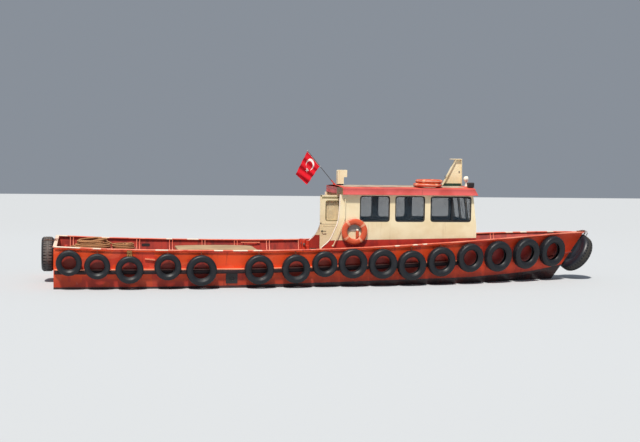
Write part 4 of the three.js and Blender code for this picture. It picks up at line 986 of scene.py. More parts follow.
def knee(x, sign):
    """A bracket from the deck up to the rail, and the narrow bar welded along its inner edge."""
    z0, z1 = DECK_SEAT, rail_z(x) - CAP_THICK - 0.002
    y0, y1 = half_beam(x, z0) - BULWARK_PLATE, half_beam(x, z1) - BULWARK_PLATE
    foot, head = y0 - KNEES.foot, y1 - KNEES.head
    edge = [(foot, z0), (foot, z0 + 0.03)]
    for t in np.linspace(0, 1, 7)[1:-1]:
        edge.append((lerp(foot, head, t) + 0.018 * sin(pi * t), lerp(z0 + 0.03, z1 - 0.03, t)))
    edge += [(head, z1 - 0.03), (head, z1)]
    outline = [(sign * y, z) for y, z in (*edge, (y1 + 0.005, z1), (y0 + 0.005, z0))]
    half = KNEES.flat_half
    bar = [[(x - half, sign * y, z), (x + half, sign * y, z), (x + half, sign * (y - KNEES.flat_thick), z),
            (x - half, sign * (y - KNEES.flat_thick), z)] for y, z in edge]
    return plate(outline, in_yz, x - KNEES.half, x + KNEES.half), loft(bar)


def make_bulwark(sign, side_name, paint, inside, edge):
    rings = []
    for share in hull_shares(0.06):
        low, high = deck_z(share) + SEAT - DECK_PLATE, column("rail_z", share) - CAP_THICK
        t = lerp(BULWARK_PLATE / LENGTH, INNER_END, share)
        outer = [side_at_z(share, lerp(low, high, k)) for k in np.linspace(0, 1, OUTER_POINTS)]
        inner_low, inner_high = deck_z(t), column("rail_z", t) - CAP_THICK
        inner = [side_at_z(t, lerp(inner_high, inner_low, k)) - (0, BULWARK_PLATE, 0) for k in (0, 0.5, 1)]
        rings.append([p * (1, sign, 1) for p in outer + inner])
    shape = Shape(loft(rings))
    # The inner skin is what lies between the inner points of two rings
    n = len(rings[0])
    shape.paint = [int(len(face) == 4 and min(i % n for i in face) >= OUTER_POINTS) for face in shape.faces]
    # Half of the transom's bulwark
    low, high = DECK_Z - DECK_PLATE, column("rail_z", 0) - CAP_THICK
    narrow, wide = [side_at_z(0, z)[1] - 0.004 for z in (low, high)]
    half = [(0, low), (sign * narrow, low), (sign * wide, high), (0, high)]
    shape.lined(plate(half, in_yz, TRANSOM_X, TRANSOM_X + BULWARK_PLATE), 0, 1, 1)
    x = KNEES.first
    while x <= KNEES.last + 1e-6:
        if not KNEES.skip_from < x < KNEES.skip_to:
            for off in (-KNEES.pair, KNEES.pair):
                bracket, flat = knee(x + off, sign)
                # Each knee's edge flat takes the pale rail paint: a painted highlight of its lit edge
                shape.add(bracket, paint=1).add(flat, paint=2)
        x += KNEES.step
    nodes = " ".join(f"bulwark_{side_name}_{part}" for part in ("aft", "middle", "fore"))
    mark(shape.piece("bulwark_plating_" + side_name, "hull_red", [paint, inside, edge], nodes, sharp=25),
         "tyre_shade", tyre_shade_mark)


def rail_wear(co):
    if co.x < TRANSOM_X + CAP_IN + 0.02:
        return 0.8
    spans = WORN_RAIL[1 if co.y > 0 else -1]
    return max(smooth(a - 0.05, a + 0.02, co.x) * smooth(b + 0.05, b - 0.02, co.x) for a, b in spans)


def make_rail(paint):
    """A flat bar with its edges rounded: port side from the stern to the stem, and back on the other side."""
    port = []
    for share in hull_shares(0.045):
        overhang = {0: -CAP_OUT, 1: CAP_OUT / 2}.get(share, 0)
        x = lerp(TRANSOM_X + CAP_IN, STEM_RAIL_X - CAP_POINT, share)
        t = (x - TRANSOM_X) / LENGTH
        inner = arr((x, column("rail_y", t) - CAP_IN, column("rail_z", t)))
        port.append((side(share, 1) + (overhang, CAP_OUT, 0), inner))
    rings = []
    r, up = 0.007, arr(UP)
    for outer, inner in port + [(a * FLIP, b * FLIP) for a, b in reversed(port)]:
        across = (inner - outer) / np.linalg.norm(inner - outer)
        low_out, low_in = outer - up * CAP_THICK, inner - up * CAP_THICK
        top = [lerp(outer + across * r, inner - across * r, t) for t in np.linspace(0, 1, 5)]
        rings.append([low_out + across * r, low_out + up * r, outer - up * r, *top, inner - up * r,
                      low_in + up * r,
                      low_in - across * r])
    mark(Shape(loft(rings, loop=True)).piece("rail_bar", "rail_cream", paint, "cap_rail", sharp=50),
         "worn", rail_wear)


def strake_low(x):
    along = (x - STRAKE.rise_from) / (STRAKE.end_x - STRAKE.rise_from)
    return STRAKE.low + STRAKE.rise * max(0.0, along) ** STRAKE.sweep


def make_strake(sign, side_name, paint, edge):
    """A rubber bar of D section under a steel flat."""
    rings, flat = [], []
    start, end = TRANSOM_X + 0.02, STRAKE.end_x
    for x in np.linspace(start, end, 150):
        z0 = strake_low(x)
        z1 = z0 + STRAKE.high
        top = z1 - STRAKE.flat
        thick = STRAKE.thick * min(smooth(start - 0.03, start + 0.05, x),
                                   smooth(end + 0.001, end - 0.10, x) * 0.72 + 0.28)
        ring = []
        for k in np.linspace(0, 1, 11):
            z = lerp(z0 + 0.002, top, k)
            bulge = (1 - abs(2 * k - 1) ** 3.2) ** 0.5
            ring.append((x, half_beam(x, z) + lerp(0.55, 1.0, bulge) * thick - 0.002, z))
        rings.append(ring + [(x, half_beam(x, z1) - 0.004, top), (x, half_beam(x, z0) - 0.004, z0 + 0.002)])
        low, out = top - 0.004, thick * 0.94
        y_low, y_high = half_beam(x, low), half_beam(x, z1)
        flat.append([(x, y_low - 0.004, low), (x, y_low + out, low), (x, y_high + out, z1 - 0.008),
                     (x, y_high + out - 0.008, z1), (x, y_high - 0.004, z1)])
    shape = Shape(loft(arr(rings) * (1, sign, 1))).add(loft(arr(flat) * (1, sign, 1)), paint=1)
    mark(shape.piece("strake_bar_" + side_name, "strake_rubber", [paint, edge], "rubbing_strake_" + side_name,
                     sharp=40), "tyre_shade", tyre_shade_mark)


def sheer_bar(first, last, sign):
    half, off = SHEER_BAR.half, SHEER_BAR.off
    out = off + 2 * half
    rings = []
    for share in np.linspace(first, last, 90):
        z = column("rail_z", share) - SHEER_BAR.drop
        low, high = side_at_z(share, z - half), side_at_z(share, z + half)
        rings.append([low + (0, off, 0), low + (0, out - 0.003, 0), low + (0, out, 0.003),
                      high + (0, out, -0.003),
                      high + (0, out - 0.003, 0), high + (0, off, 0)])
    return loft(arr(rings) * (1, sign, 1))


def on_side(x, z, out, sign=-1):
    return (x, sign * (half_beam(x, z) + out), z)


def make_outlet(paint, dark):
    """A welded box round the cooling water outlet: a frame with a round mouth in it."""
    x, top = OUTLET.x, strake_low(OUTLET.x) + 0.001
    corners = oblong(x - OUTLET.half, x + OUTLET.half, OUTLET.low, top, 0.015, 3)
    mouth = [(x + OUTLET.mouth * cos(a), (OUTLET.low + top) / 2 + OUTLET.mouth * sin(a)) for a in around(32)]
    lip = tube([on_side(p, q, 0.012) for p, q in mouth], 0.009, 10, loop=True)
    shape = Shape(plate(corners, on_side, 0.0008, OUTLET.thick, [mouth]), lip)
    # A black disc fills the mouth: painted shade of the outlet's dark opening
    shape.add(plate(mouth, on_side, 0.0008, 0.003), paint=1)
    shape.piece("outlet_box", "black_paint", [paint, dark], "side_outlet", sharp=40)


def make_side_bars(paint, lit_flat):
    """A short bar over the strake on each side."""
    for sign, side_name in reversed(SIDES):
        bar = plate(SIDE_BAR, lambda p, q, d: on_side(p, q, d, sign), -0.002, 0.034)
        # The bar takes the pale flat paint, a painted highlight of sunlit red
        Shape().add(bar, paint=1).piece("side_bar_" + side_name, "hull_red", [paint, lit_flat], sharp=40)


def make_bulwark_gear(paint, dark):
    """A grab bar on two brackets and a mooring hole's dark plate, inside the port bulwark."""
    a, b, z = -2.46, -1.88, 0.945
    y = half_beam(a, z) - BULWARK_PLATE - 0.07
    bar = Shape(rod((a, y, z), (b, y, z), 0.014, 14, 0.003))
    for x in (a + 0.08, b - 0.08):
        bar.add(rod((x, y, z), (x, half_beam(x, z) - BULWARK_PLATE + 0.002, z), 0.010, 12))
    bar.piece("bulwark_grab_bar", "rail_cream", paint, sharp=40)

    def inside(p, q, d):
        return (p, half_beam(p, q) - BULWARK_PLATE - d, q)

    hole = plate(oblong(-5.42, -5.17, 0.82, 0.90, 0.038, 5), inside, -0.002, 0.006)
    Shape(hole).piece("mooring_hole_plate", "black_paint", dark, sharp=40)


# Tyre fenders: worn car and lorry tyres, each hung by a short chain from a bar under the rail
SIDE_TYRES = [
    (-7.50, 0.720, 0.342), (-6.77, 0.630, 0.344), (-5.93, 0.540, 0.372), (-4.92, 0.610, 0.361),
    (-4.02, 0.510, 0.417), (-2.45, 0.520, 0.406), (-1.43, 0.530, 0.398), (-0.62, 0.650, 0.359),
    (0.18, 0.660, 0.417), (1.05, 0.640, 0.420), (1.91, 0.590, 0.423), (2.80, 0.680, 0.426),
    (3.70, 0.770, 0.415), (4.62, 0.790, 0.449), (5.58, 0.845, 0.455), (6.52, 0.880, 0.460),
]
TYRE = Sizes(width=0.54, hole=0.55, tread=0.34, bulge=0.5, bulge_at=0.8, clear=0.006)
STERN_TYRE = Sizes(r=0.49, width=0.34, z=0.77)
BOW_TYRE = Sizes(r=0.60, width=0.34, at=(7.52, 0.10, 0.785), rake=radians(32), yaw=radians(16))
CHAIN_REACH = 0.88
# A round tyre is this much smaller than the solid's corners, so that it stays inside its box
ROUND = 0.991
LASHED = 2
# Half section of a tyre, as shares of the radius and of the half width at the tread, wall and bead
TREAD_ROWS = [(0, 1.0), (0.10, 1.0), (0.12, 0.978), (0.20, 0.978), (0.22, 1.0), (0.52, 0.998), (0.54, 0.976),
              (0.62, 0.976), (0.64, 0.996), (0.92, 0.990), (1.0, 0.978)]
WALL_ROWS = [(0.967, 0.12), (0.952, 0.32), (0.932, 0.55), (0.902, 0.77), (0.862, 0.93), (0.82, 1.0)]
BEAD_ROWS = [(0.78, 0.995), (0.735, 0.965), (0.695, 0.91), (0.688, 0.885), (0.65, 0.81), (0.615, 0.71),
             (0.585, 0.60), (0.565, 0.52), (0.552, 0.43), (0.552, 0.35)]
BEAD_FROM = 0.82


def tyre_place(x, z, r):
    """Centre, axis and top of a side tyre on the port side: it leans on the plating and the strake."""
    width, step = TYRE.width * r, 0.05
    turn = -(half_beam(x + step, z) - half_beam(x - step, z)) / (2 * step)
    lean = (half_beam(x, z + step) - half_beam(x, z - step)) / (2 * step) * 0.5
    normal = arr((turn, 1.0, -lean))
    normal /= np.linalg.norm(normal)
    spin = np.array(Vector((0, 1, 0)).rotation_difference(Vector(normal)).to_matrix())
    centre = arr((x, half_beam(x, z), z))
    push = 0.0
    for radius, inward in ((r, TYRE.tread * width), (r * TYRE.bulge_at, TYRE.bulge * width)):
        for a in around(24):
            p = spin @ arr((radius * cos(a), -inward, radius * sin(a))) + centre
            low = strake_low(p[0])
            on_strake = p[0] < STRAKE.end_x and low - 0.01 < p[2] < low + STRAKE.high + 0.01
            push = max(push, half_beam(p[0], p[2]) + (STRAKE.thick if on_strake else 0.0) + TYRE.clear - p[1])
    centre[1] += push
    return centre, normal, centre + arr((0, lean, 1.0)) / hypot(lean, 1) * r * CHAIN_REACH


def tyre_profile(r, width, hole):
    """The half section from the middle of the tread to the bead, then back along the hollow inside."""
    narrow = (BEAD_FROM - hole) / (BEAD_FROM - TYRE.hole)

    def inward(high):
        return high if high > BEAD_FROM else BEAD_FROM - (BEAD_FROM - high) * narrow

    t, b, wall = TYRE.tread * width, TYRE.bulge * width, 0.055 * r
    outer = [(r * high, t * along) for along, high in TREAD_ROWS]
    outer += [(high * r, lerp(t, b, along)) for high, along in WALL_ROWS]
    outer += [(inward(high) * r, b * along) for high, along in BEAD_ROWS]
    hollow = [(0.575, b * 0.30), (0.60, b * 0.42), (0.66, b * 0.62), (0.76, b - wall),
              (0.86, b * 0.80 - wall * 0.6), (0.925, t * 0.72), (0.94, t * 0.3)]
    return outer + [(inward(high) * r, along) for high, along in hollow]


def tyre_mesh(r, width, centre, axis, segments, blocks, deep, hole=TYRE.hole):
    """A whole tyre; the gaps between its tread blocks come from lowering the tread's edge rows."""
    r, width = ROUND * r, ROUND * width
    half = tyre_profile(r, width, hole)
    loop = [(a, -b) for a, b in reversed(half)] + half[1:]
    loop = [p for i, p in enumerate(loop) if i == 0 or p != loop[i - 1]]
    verts, faces = lathe(loop, segments, (0, 0, 0), caps=False)
    rings, rows = verts.reshape(segments, len(loop), 3), arr(loop)
    notch = (np.arange(segments) * blocks / segments) % 1 < 0.3
    edge = (rows[:, 0] > 0.97 * r) & (np.abs(rows[:, 1] / (TYRE.tread * width)) > 0.5)
    radius = np.hypot(rings[:, :, 0], rings[:, :, 1])
    drop = np.where(notch[:, None] & edge[None], deep * r, 0)
    rings[:, :, :2] *= ((radius - drop) / radius)[:, :, None]
    return rings.reshape(-1, 3) @ turned_to(axis).T + arr(centre), faces


def mark_sidewalls_and_groove_shade(piece, centre, axis, r, width):
    """Marks the tread's sunk grooves, which get a painted shade, and the side faces, which stay the black of
    the rubber.
    """
    centre, axis = arr(centre), arr(axis)

    def depth(co):
        off = np.array(co) - centre
        along = abs(float(off @ axis))
        radius = sqrt(max(0.0, float(off @ off) - along ** 2))
        return max(smooth(0.988 * r, 0.97 * r, radius), smooth(0.40 * width, 0.44 * width, along))

    mark(piece, "sidewall_and_groove_shade", depth)


def link_mesh(centre, along, flat, long=0.054, wide=0.034, r=0.0048):
    """One chain link: a stadium of round bar."""
    a = around(20)
    p = (wide / 2 - r) * np.cos(a)
    q = (wide / 2 - r) * np.sin(a) + np.sign(np.sin(a)) * ((long - wide) / 2)
    return tube(centre[None] + q[:, None] * along[None] + p[:, None] * flat[None], r, 6, loop=True)


def chain_links(path, spacing=0.042):
    """Links along a path, each a quarter turn from the one before."""
    path = even(path, spacing)
    u, v = frames_along(path)
    way = np.gradient(path, axis=0)
    way /= np.linalg.norm(way, axis=1)[:, None]
    return [link_mesh(path[i], way[i], u[i] if i % 2 else v[i]) for i in range(len(path))]


def mirrored(part):
    verts, faces = part
    return arr(verts) * FLIP, [tuple(reversed(face)) for face in faces]


def hang_point(x):
    """The middle of the sheer bar's outer face, port side."""
    z = rail_z(x) - SHEER_BAR.drop
    return arr((x, half_beam(x, z) + SHEER_BAR.off + 2 * SHEER_BAR.half, z))


def make_fenders(tyre_paint, chain_paint, bar_paint, lash_paint):
    places = [(x, z, r, *tyre_place(x, z, r)) for x, z, r in SIDE_TYRES]
    each = len(SIDE_TYRES) // len(FENDER_GROUPS)
    for g, (group, (first, last)) in enumerate(FENDER_GROUPS.items()):
        for sign, side_name in SIDES:
            tyres, chains = [], []
            for k, (x, z, r, centre, normal, top) in enumerate(places[g * each:(g + 1) * each]):
                tyres.append(tyre_mesh(r, TYRE.width * r, centre, normal, 96, 22 + (k * 5) % 9, 0.018))
                hang = hang_point(x)
                start = hang + (0, 0.006, -0.006)
                chains += chain_links([start, lerp(start, top, 0.5), top])
                chains.append(hoop(lambda p, q: hang + (p, 0.004, q - 0.004), 0.016, 0.005, 16, 6))
            if sign < 0:
                tyres, chains = map(mirrored, tyres), map(mirrored, chains)
            name = f"{side_name}_{group}"
            Shape(*tyres).piece("tyres_" + name, "tyre_black", tyre_paint, "fender_tyres_" + name, sharp=42)
            Shape(*chains).piece("chains_" + name, "steel", chain_paint, sharp=60)
            Shape(sheer_bar(first, last, sign)).piece("sheer_bar_" + name, "hull_red", bar_paint, sharp=40)
    # A bundle of old rope that lashes the third starboard tyre to the bar
    x, z, r, centre, normal, top = places[LASHED]
    bar_y, out = hang_point(x)[1], centre[1]
    crown = z + r * 1.005
    lash = Shape()
    for k in range(7):
        off = lerp(-0.056, 0.056, k / 6)
        swing = 0.012 * sin(k * 2.3)
        path = [(x + off, bar_y + 0.004, rail_z(x) - CAP_THICK - 0.006),
                (x + off * 1.05, bar_y + 0.018, crown + 0.08),
                (x + off * 0.85 + swing, bar_y + 0.03, crown + 0.04),
                (x + off * 1.1 - swing, out + 0.02, crown + 0.006), (x + off * 1.2, out + 0.06, crown - 0.02)]
        lash.add(tube(catmull(path, 5) * FLIP, 0.0095, 8))
    for low in (0.045, 0.075):
        ring = [(x + 0.062 * cos(a), -bar_y - 0.024 - 0.016 * sin(a), crown + low + 0.01 * cos(a))
                for a in around(24)]
        lash.add(tube(ring, 0.009, 8, loop=True))
    lash.piece("tyre_lashing", "rope", lash_paint, sharp=60)


def make_stern_fender(tread_paint, lash_paint):
    r, width, z = STERN_TYRE.r, STERN_TYRE.width, STERN_TYRE.z
    x = TRANSOM_X - CAP_OUT - 0.006 - width / 2
    tyre = Shape(tyre_mesh(r, width, (x, 0, z), FORWARD, 160, 36, 0.035))
    piece = tyre.piece("tyre_stern", "tyre_black", tread_paint, "fender_tyre_stern", sharp=42)
    mark_sidewalls_and_groove_shade(piece, (x, 0, z), FORWARD, r, width)
    # Two chains from inside the bulwark, over the rail and round the tyre's crown
    rail, edge = column("rail_z", 0), TRANSOM_X
    chains = Shape()
    for y in (-0.28, 0.28):
        crest = z + sqrt(r ** 2 - y ** 2)
        path = [(edge + 0.10, y, DECK_Z + 0.30), (edge + 0.095, y, rail - 0.01),
                (edge + 0.06, y, rail + 0.020),
                (edge - 0.015, y, rail + 0.020), (edge - 0.05, y, lerp(rail, crest, 0.6)),
                (x + 0.06, y, crest + 0.010), (x - 0.06, y, crest + 0.010), (x - 0.147, y, crest - 0.075)]
        chains.add(*chain_links(catmull(path, 10)))
    # A flat strap over the rail holds the tyre at its middle
    chains.add(block(edge - 0.02, edge + 0.04, -0.045, 0.045, rail + 0.0008, rail + 0.008, 0.002),
               block(x + 0.02, edge + 0.04, -0.045, 0.045, rail + 0.008, rail + 0.024, 0.004))
    chains.piece("stern_fender_chains", "steel", lash_paint, sharp=60)


def make_bow_fender(tread_paint, chain_paint):
    rake, yaw, r, width, at = BOW_TYRE.rake, BOW_TYRE.yaw, BOW_TYRE.r, BOW_TYRE.width, BOW_TYRE.at
    axis = arr((cos(rake) * cos(yaw), cos(rake) * sin(yaw), -sin(rake)))
    up = arr((sin(rake) * cos(yaw), sin(rake) * sin(yaw), cos(rake)))
    across = np.cross(up, axis)
    top = arr(at) + up * r * CHAIN_REACH
    # A dark pad on the stem's side closes the hole: a painted shade in the hole, in the tyre's dark tone
    b = width * TYRE.bulge
    pad = [(0.0005, -0.56 * b), (0.40 * r, -0.62 * b), (0.47 * r, -0.60 * b), (0.47 * r, -0.46 * b),
           (0.40 * r, -0.30 * b), (0.20 * r, -0.20 * b), (0.0005, -0.18 * b)]
    tyre = Shape(tyre_mesh(r, width, at, axis, 160, 40, 0.035, 0.42), lathe(pad, 48, at, axis))
    piece = tyre.piece("tyre_bow", "tyre_black", tread_paint, "fender_tyre_bow", sharp=42)
    mark_sidewalls_and_groove_shade(piece, at, axis, r, width)
    rail, stem = column("rail_z", 1), STEM_RAIL_X
    chains = Shape(block(stem - 0.2, stem + 0.062, -0.04, 0.04, rail + SEAT, rail + 0.026, 0.006))
    path = [(stem + 0.048, 0, rail + 0.02), (stem + 0.075, 0, rail - 0.03), top + up * 0.02]
    chains.add(*chain_links(path, 0.040))
    for y in (-0.10, 0.10):
        path = [(stem - 0.12, y * 0.4, rail + 0.020), (stem, y * 0.7, rail + 0.034),
                (stem + 0.06, y, rail + 0.012),
                (stem + 0.09, y, rail - 0.05), top + up * 0.03 + across * y]
        chains.add(*chain_links(catmull(path, 8), 0.040))
    chains.piece("bow_fender_chains", "steel", chain_paint, sharp=60)


# Wheelhouse
CABIN = Sizes(half=1.09, wall=0.045, inner=1.09 - 0.045, base=DECK_SEAT, top=2.53, bulkhead_x=0.27,
              front_x=3.985, knee_z=1.65, front_top_x=3.872)
WING = [(-0.57, 0.89), (-0.55, 1.03), (-0.32, 1.24), (-0.19, 1.5), (-0.073, 1.84), (-0.027, 2.53)]
SIDE_WINDOWS = [(0.56, 1.39), (1.59, 2.42), (2.63, 3.8)]
WINDOW = Sizes(low=1.79, high=2.48, corner=0.09, bar_x=3.25)
FRONT_WINDOWS = (-0.67, 0.0, 0.67)
FRONT_WINDOW = Sizes(half=0.285, low=1.8, high=2.42, corner=0.07)
ROOF = Sizes(half=1.21, front_x=3.98, bow=0.12, rake=0.08, inset=0.06, low=2.53, edge=2.72, quarter=2.757,
             ridge=2.77)
ROOF_TOP = ROOF.ridge + SEAT
DOOR = Sizes(hinge_x=0.245, hinge_y=-0.415, thick=0.035, near=0.02, far=0.72, low=0.765, high=2.488,
             open_low=-0.375,
             open_high=0.285, sill=0.79, head=2.465, window=(0.17, 0.56, 1.755, 2.33), hinges=(1.05, 2.2))
CURTAIN = Sizes(off=0.030, rows=24, columns=150, pleats=11, deep=0.011, flat=(0.62, 0.64))


def gasket(box, corner, place, depth, lap=0.022, tuck=0.006, out=0.007):
    """A rubber channel round a window: a rounded bead that laps over the panel's edge."""
    x0, x1, z0, z1 = box
    outline = oblong(*box, corner)
    centre = arr([(x0 + x1) / 2, (z0 + z1) / 2])
    half = arr([(x1 - x0) / 2, (z1 - z0) / 2])
    rows = [(-tuck, -0.008), (-tuck, out * 0.6), (-tuck + 0.004, out), (lap - 0.006, out), (lap, out * 0.45),
            (lap, -0.001)]
    loops = [[place(p, q, depth + d) for p, q in centre + (outline - centre) * (half + by) / half] for by,
             d in rows]
    return loft(arr(loops).transpose(1, 0, 2), loop=True)


def make_cabin_side(sign, side_name, paint, rubber, lining, lip_paint):
    half, wall = CABIN.half, CABIN.wall
    # The wing's aft edge is a smooth line from the deck up to the roof
    wing = [WING[0]] + [(p[0], p[2]) for p in catmull([(x, 0, z) for x, z in WING[1:]], 6)]
    fore = [(CABIN.front_top_x, CABIN.top), (CABIN.front_x, CABIN.knee_z), (CABIN.front_x, CABIN.base)]
    windows = [(a, b, WINDOW.low, WINDOW.high) for a, b in SIDE_WINDOWS]
    holes = [oblong(*box, WINDOW.corner) for box in windows]

    def place(p, q, d):
        return (p, sign * d, q)

    def bar(x0, x1, y0, y1, z0, z1, r):
        return block(x0, x1, sign * (half + y0), sign * (half + y1), z0, z1, r)

    panel = plate([(WING[0][0], CABIN.base)] + wing + fore, place, half - wall, half, holes)
    # The wing's edge is folded out into a lip, painted near white as a highlight along the edge, and a flat
    # runs along the foot
    lip = tube([(x - 0.004, sign * (half - 0.002), z) for x, z in wing], 0.015, 10)
    shape = Shape().lined(panel, 1, 0, 0).add(lip, paint=2)
    shape.add(bar(-0.545, 3.983, -0.002, 0.007, 0.684, 0.735, 0.003))
    name = "cabin_panel_" + side_name
    shape.piece(name, "cabin_cream", [paint, lining, lip_paint], "cabin_side_" + side_name, sharp=30)
    seals = Shape()
    for box in windows:
        seals.add(gasket(box, WINDOW.corner, place, half),
                  gasket(box, WINDOW.corner, lambda p, q, d: (p, sign * (2 * half - wall - d), q), half))
    # An upright bar parts the long forward window
    seals.add(bar(WINDOW.bar_x - 0.018, WINDOW.bar_x + 0.018, -0.03, -0.006, WINDOW.low - 0.004,
                  WINDOW.high + 0.004,
                  0.004))
    for z in (WINDOW.low + 0.012, WINDOW.high - 0.012):
        seals.add(bar(2.65, 3.78, -0.028, -0.010, z - 0.010, z + 0.010, 0.003))
    seals.piece(name + "_seals", "black_paint", rubber, sharp=40)


def make_cabin_front(paint, rubber, lining):
    inner, windows = CABIN.inner, []
    for y in FRONT_WINDOWS:
        windows.append((y - FRONT_WINDOW.half, y + FRONT_WINDOW.half, FRONT_WINDOW.low, FRONT_WINDOW.high))

    def front(z):
        up = max(0.0, (z - CABIN.knee_z) / (CABIN.top - CABIN.knee_z))
        return lerp(CABIN.front_x, CABIN.front_top_x, up)

    def place(p, q, d):
        return (front(q) - d, p, q)

    holes = [oblong(*box, FRONT_WINDOW.corner) for box in windows]
    low = plate(oblong(-inner, inner, CABIN.base, CABIN.knee_z), place, 0, CABIN.wall)
    high = plate(oblong(-inner, inner, CABIN.knee_z, CABIN.top), place, 0, CABIN.wall, holes)
    Shape(low).lined(high, 0, 1, 0).piece("cabin_front_panel", "cabin_cream", [paint, lining], "cabin_front",
                                          sharp=30)
    seals = [gasket(box, FRONT_WINDOW.corner, lambda p, q, d: (front(q) + d, p, q), 0.0) for box in windows]
    Shape(*seals).piece("cabin_front_seals", "black_paint", rubber, sharp=40)
    # Two wipers on the middle and starboard panes
    wipers = Shape()
    for y in FRONT_WINDOWS[:2]:
        foot, tip = arr((front(1.77) + 0.02, y, 1.77)), arr((front(2.15) + 0.018, y + 0.16, 2.15))
        wipers.add(rod(foot - (0.022, 0, 0), foot + (0.012, 0, 0), 0.016, 14, 0.003),
                   tube([foot, lerp(foot, tip, 0.5) + (0.006, 0, 0), tip], 0.0045, 8),
                   tube([tip - (0.004, 0.02, 0.14), tip, tip + (-0.006, 0.02, 0.14)], 0.006, 8))
    wipers.piece("wipers", "black_paint", rubber, sharp=40)


def make_bulkhead(paint, lining):
    x0, x, y = CABIN.bulkhead_x, DOOR.hinge_x, DOOR.hinge_y
    doorway = oblong(DOOR.open_low, DOOR.open_high, DOOR.sill, DOOR.head, 0.03, 4)
    wall = oblong(-CABIN.inner, CABIN.inner, CABIN.base, CABIN.top)
    shape = Shape().lined(plate(wall, in_yz, x0, x0 + CABIN.wall, [doorway]), 0, 1, 0)
    # Fixed halves of the door's two hinges
    for z in DOOR.hinges:
        shape.add(post(x, y, z - 0.05, z - SEAT / 2, 0.012, 20, 0.002),
                  block(x, x0 + 0.002, y - 0.004, y + 0.004, z - 0.05, z - SEAT / 2, 0.001))
    shape.piece("bulkhead_panel", "cabin_cream", [paint, lining], "cabin_bulkhead", sharp=30)


def make_door(paint, rubber, olive_paint, cloth):
    x, y, t = DOOR.hinge_x, DOOR.hinge_y, DOOR.thick / 2
    free, near, door_low, door_high = x - DOOR.far, x - DOOR.near, DOOR.low, DOOR.high
    a, b, low, high = DOOR.window
    pane = (x - b, x - a, low, high)
    leaf = plate(oblong(free, near, door_low, door_high, 0.012, 3), in_xz, y - t, y + t,
                 [oblong(*pane, 0.07)])
    shape = Shape(leaf)
    # Raised flats round the leaf and across it, on both faces
    for face, out in ((y - t, -0.005), (y + t, 0.005)):
        ys = (face - out * 0.4, face + out)
        for z0, z1 in ((1.655, 1.695), (door_high - 0.045, door_high - 0.004),
                       (door_low + 0.004, door_low + 0.05)):
            shape.add(block(free + 0.004, near - 0.004, *ys, z0, z1, 0.002))
        for x0, x1 in ((free + 0.004, free + 0.045), (near - 0.045, near - 0.004)):
            shape.add(block(x0, x1, *ys, door_low + 0.004, door_high - 0.004, 0.002))
    for z in DOOR.hinges:
        shape.add(post(x, y, z + SEAT / 2, z + 0.05, 0.012, 20, 0.002),
                  block(near - 0.01, x, y - 0.004, y + 0.004, z + SEAT / 2, z + 0.05, 0.001),
                  block(near - 0.09, near - 0.002, y - t - 0.004, y - t + 0.001, z - 0.01, z + 0.055, 0.001))
    shape.piece("door_panel", "cabin_cream", paint, "door_leaf", sharp=30, body="door")
    fittings = Shape()
    for way in (-1, 1):
        bead = gasket(pane, 0.07, lambda p, q, d: (p, y + way * t + way * d, q), 0.0, lap=0.008, out=0.005)
        fittings.add(bead, paint=1)
    # Lever handle on each face
    for way in (-1, 1):
        hub = arr((free + 0.06, y + way * t, 1.45))
        neck = hub + (0, way * 0.040, 0)
        grip = [neck, hub + (0.05, way * 0.042, 0), hub + (0.115, way * 0.038, -0.004)]
        fittings.add(rod(hub, hub + (0, way * 0.008, 0), 0.026, 20, 0.003), rod(hub, neck, 0.009, 12),
                     tube(grip, 0.0085, 10))
    fittings.piece("door_fittings", "black_paint", [rubber, olive_paint], sharp=40, body="door")
    # An olive strip over the window, and a sunk panel's edge under the cross bar, on the outer face
    strip = block(free + 0.05, near - 0.05, y - t - 0.004, y - t + 0.001, 2.392, 2.428, 0.002)
    Shape(strip).piece("door_strip", "black_paint", olive_paint, sharp=40, body="door")
    edge = [(p, y - t - 0.001, q) for p, q in oblong(free + 0.075, near - 0.075, 0.86, 1.60, 0.02, 4)]
    Shape(tube(edge, 0.004, 6, loop=True)).piece("door_panel_edge", "cabin_cream", paint, sharp=60,
                                                 body="door")
    # The curtain hangs in pleats on a thin wire inside the window
    x0, x1, top, foot = pane[0], pane[1], high + 0.035, low - 0.03
    wire_y, wire_z = y + t + CURTAIN.off, top - 0.004
    rows = []
    for v in np.linspace(0, 1, CURTAIN.rows + 1):
        row = []
        for u in np.linspace(0, 1, CURTAIN.columns + 1):
            phase = 2 * pi * CURTAIN.pleats * u + 0.5 * sin(3 * v + 7 * u)
            deep = CURTAIN.deep * (0.55 + 0.45 * v) * (1 + 0.25 * sin(11 * u))
            row.append((lerp(x0 - 0.02, x1 + 0.02, u), wire_y + deep * sin(phase), lerp(top, foot, v)))
        rows.append(row)
    curtain = Shape(sheet(rows)).piece("door_curtain", "canvas", cloth, sharp=180, body="door", outward=False)
    wire = Shape(rod((x0 - 0.035, wire_y, wire_z), (x1 + 0.035, wire_y, wire_z), 0.003, 8))
    for x in (x0 - 0.03, x1 + 0.03):
        wire.add(rod((x, y + t - 0.001, wire_z), (x, wire_y + 0.004, wire_z), 0.004, 8))
    wire.piece("door_curtain_wire", "steel", rubber, sharp=60, body="door")


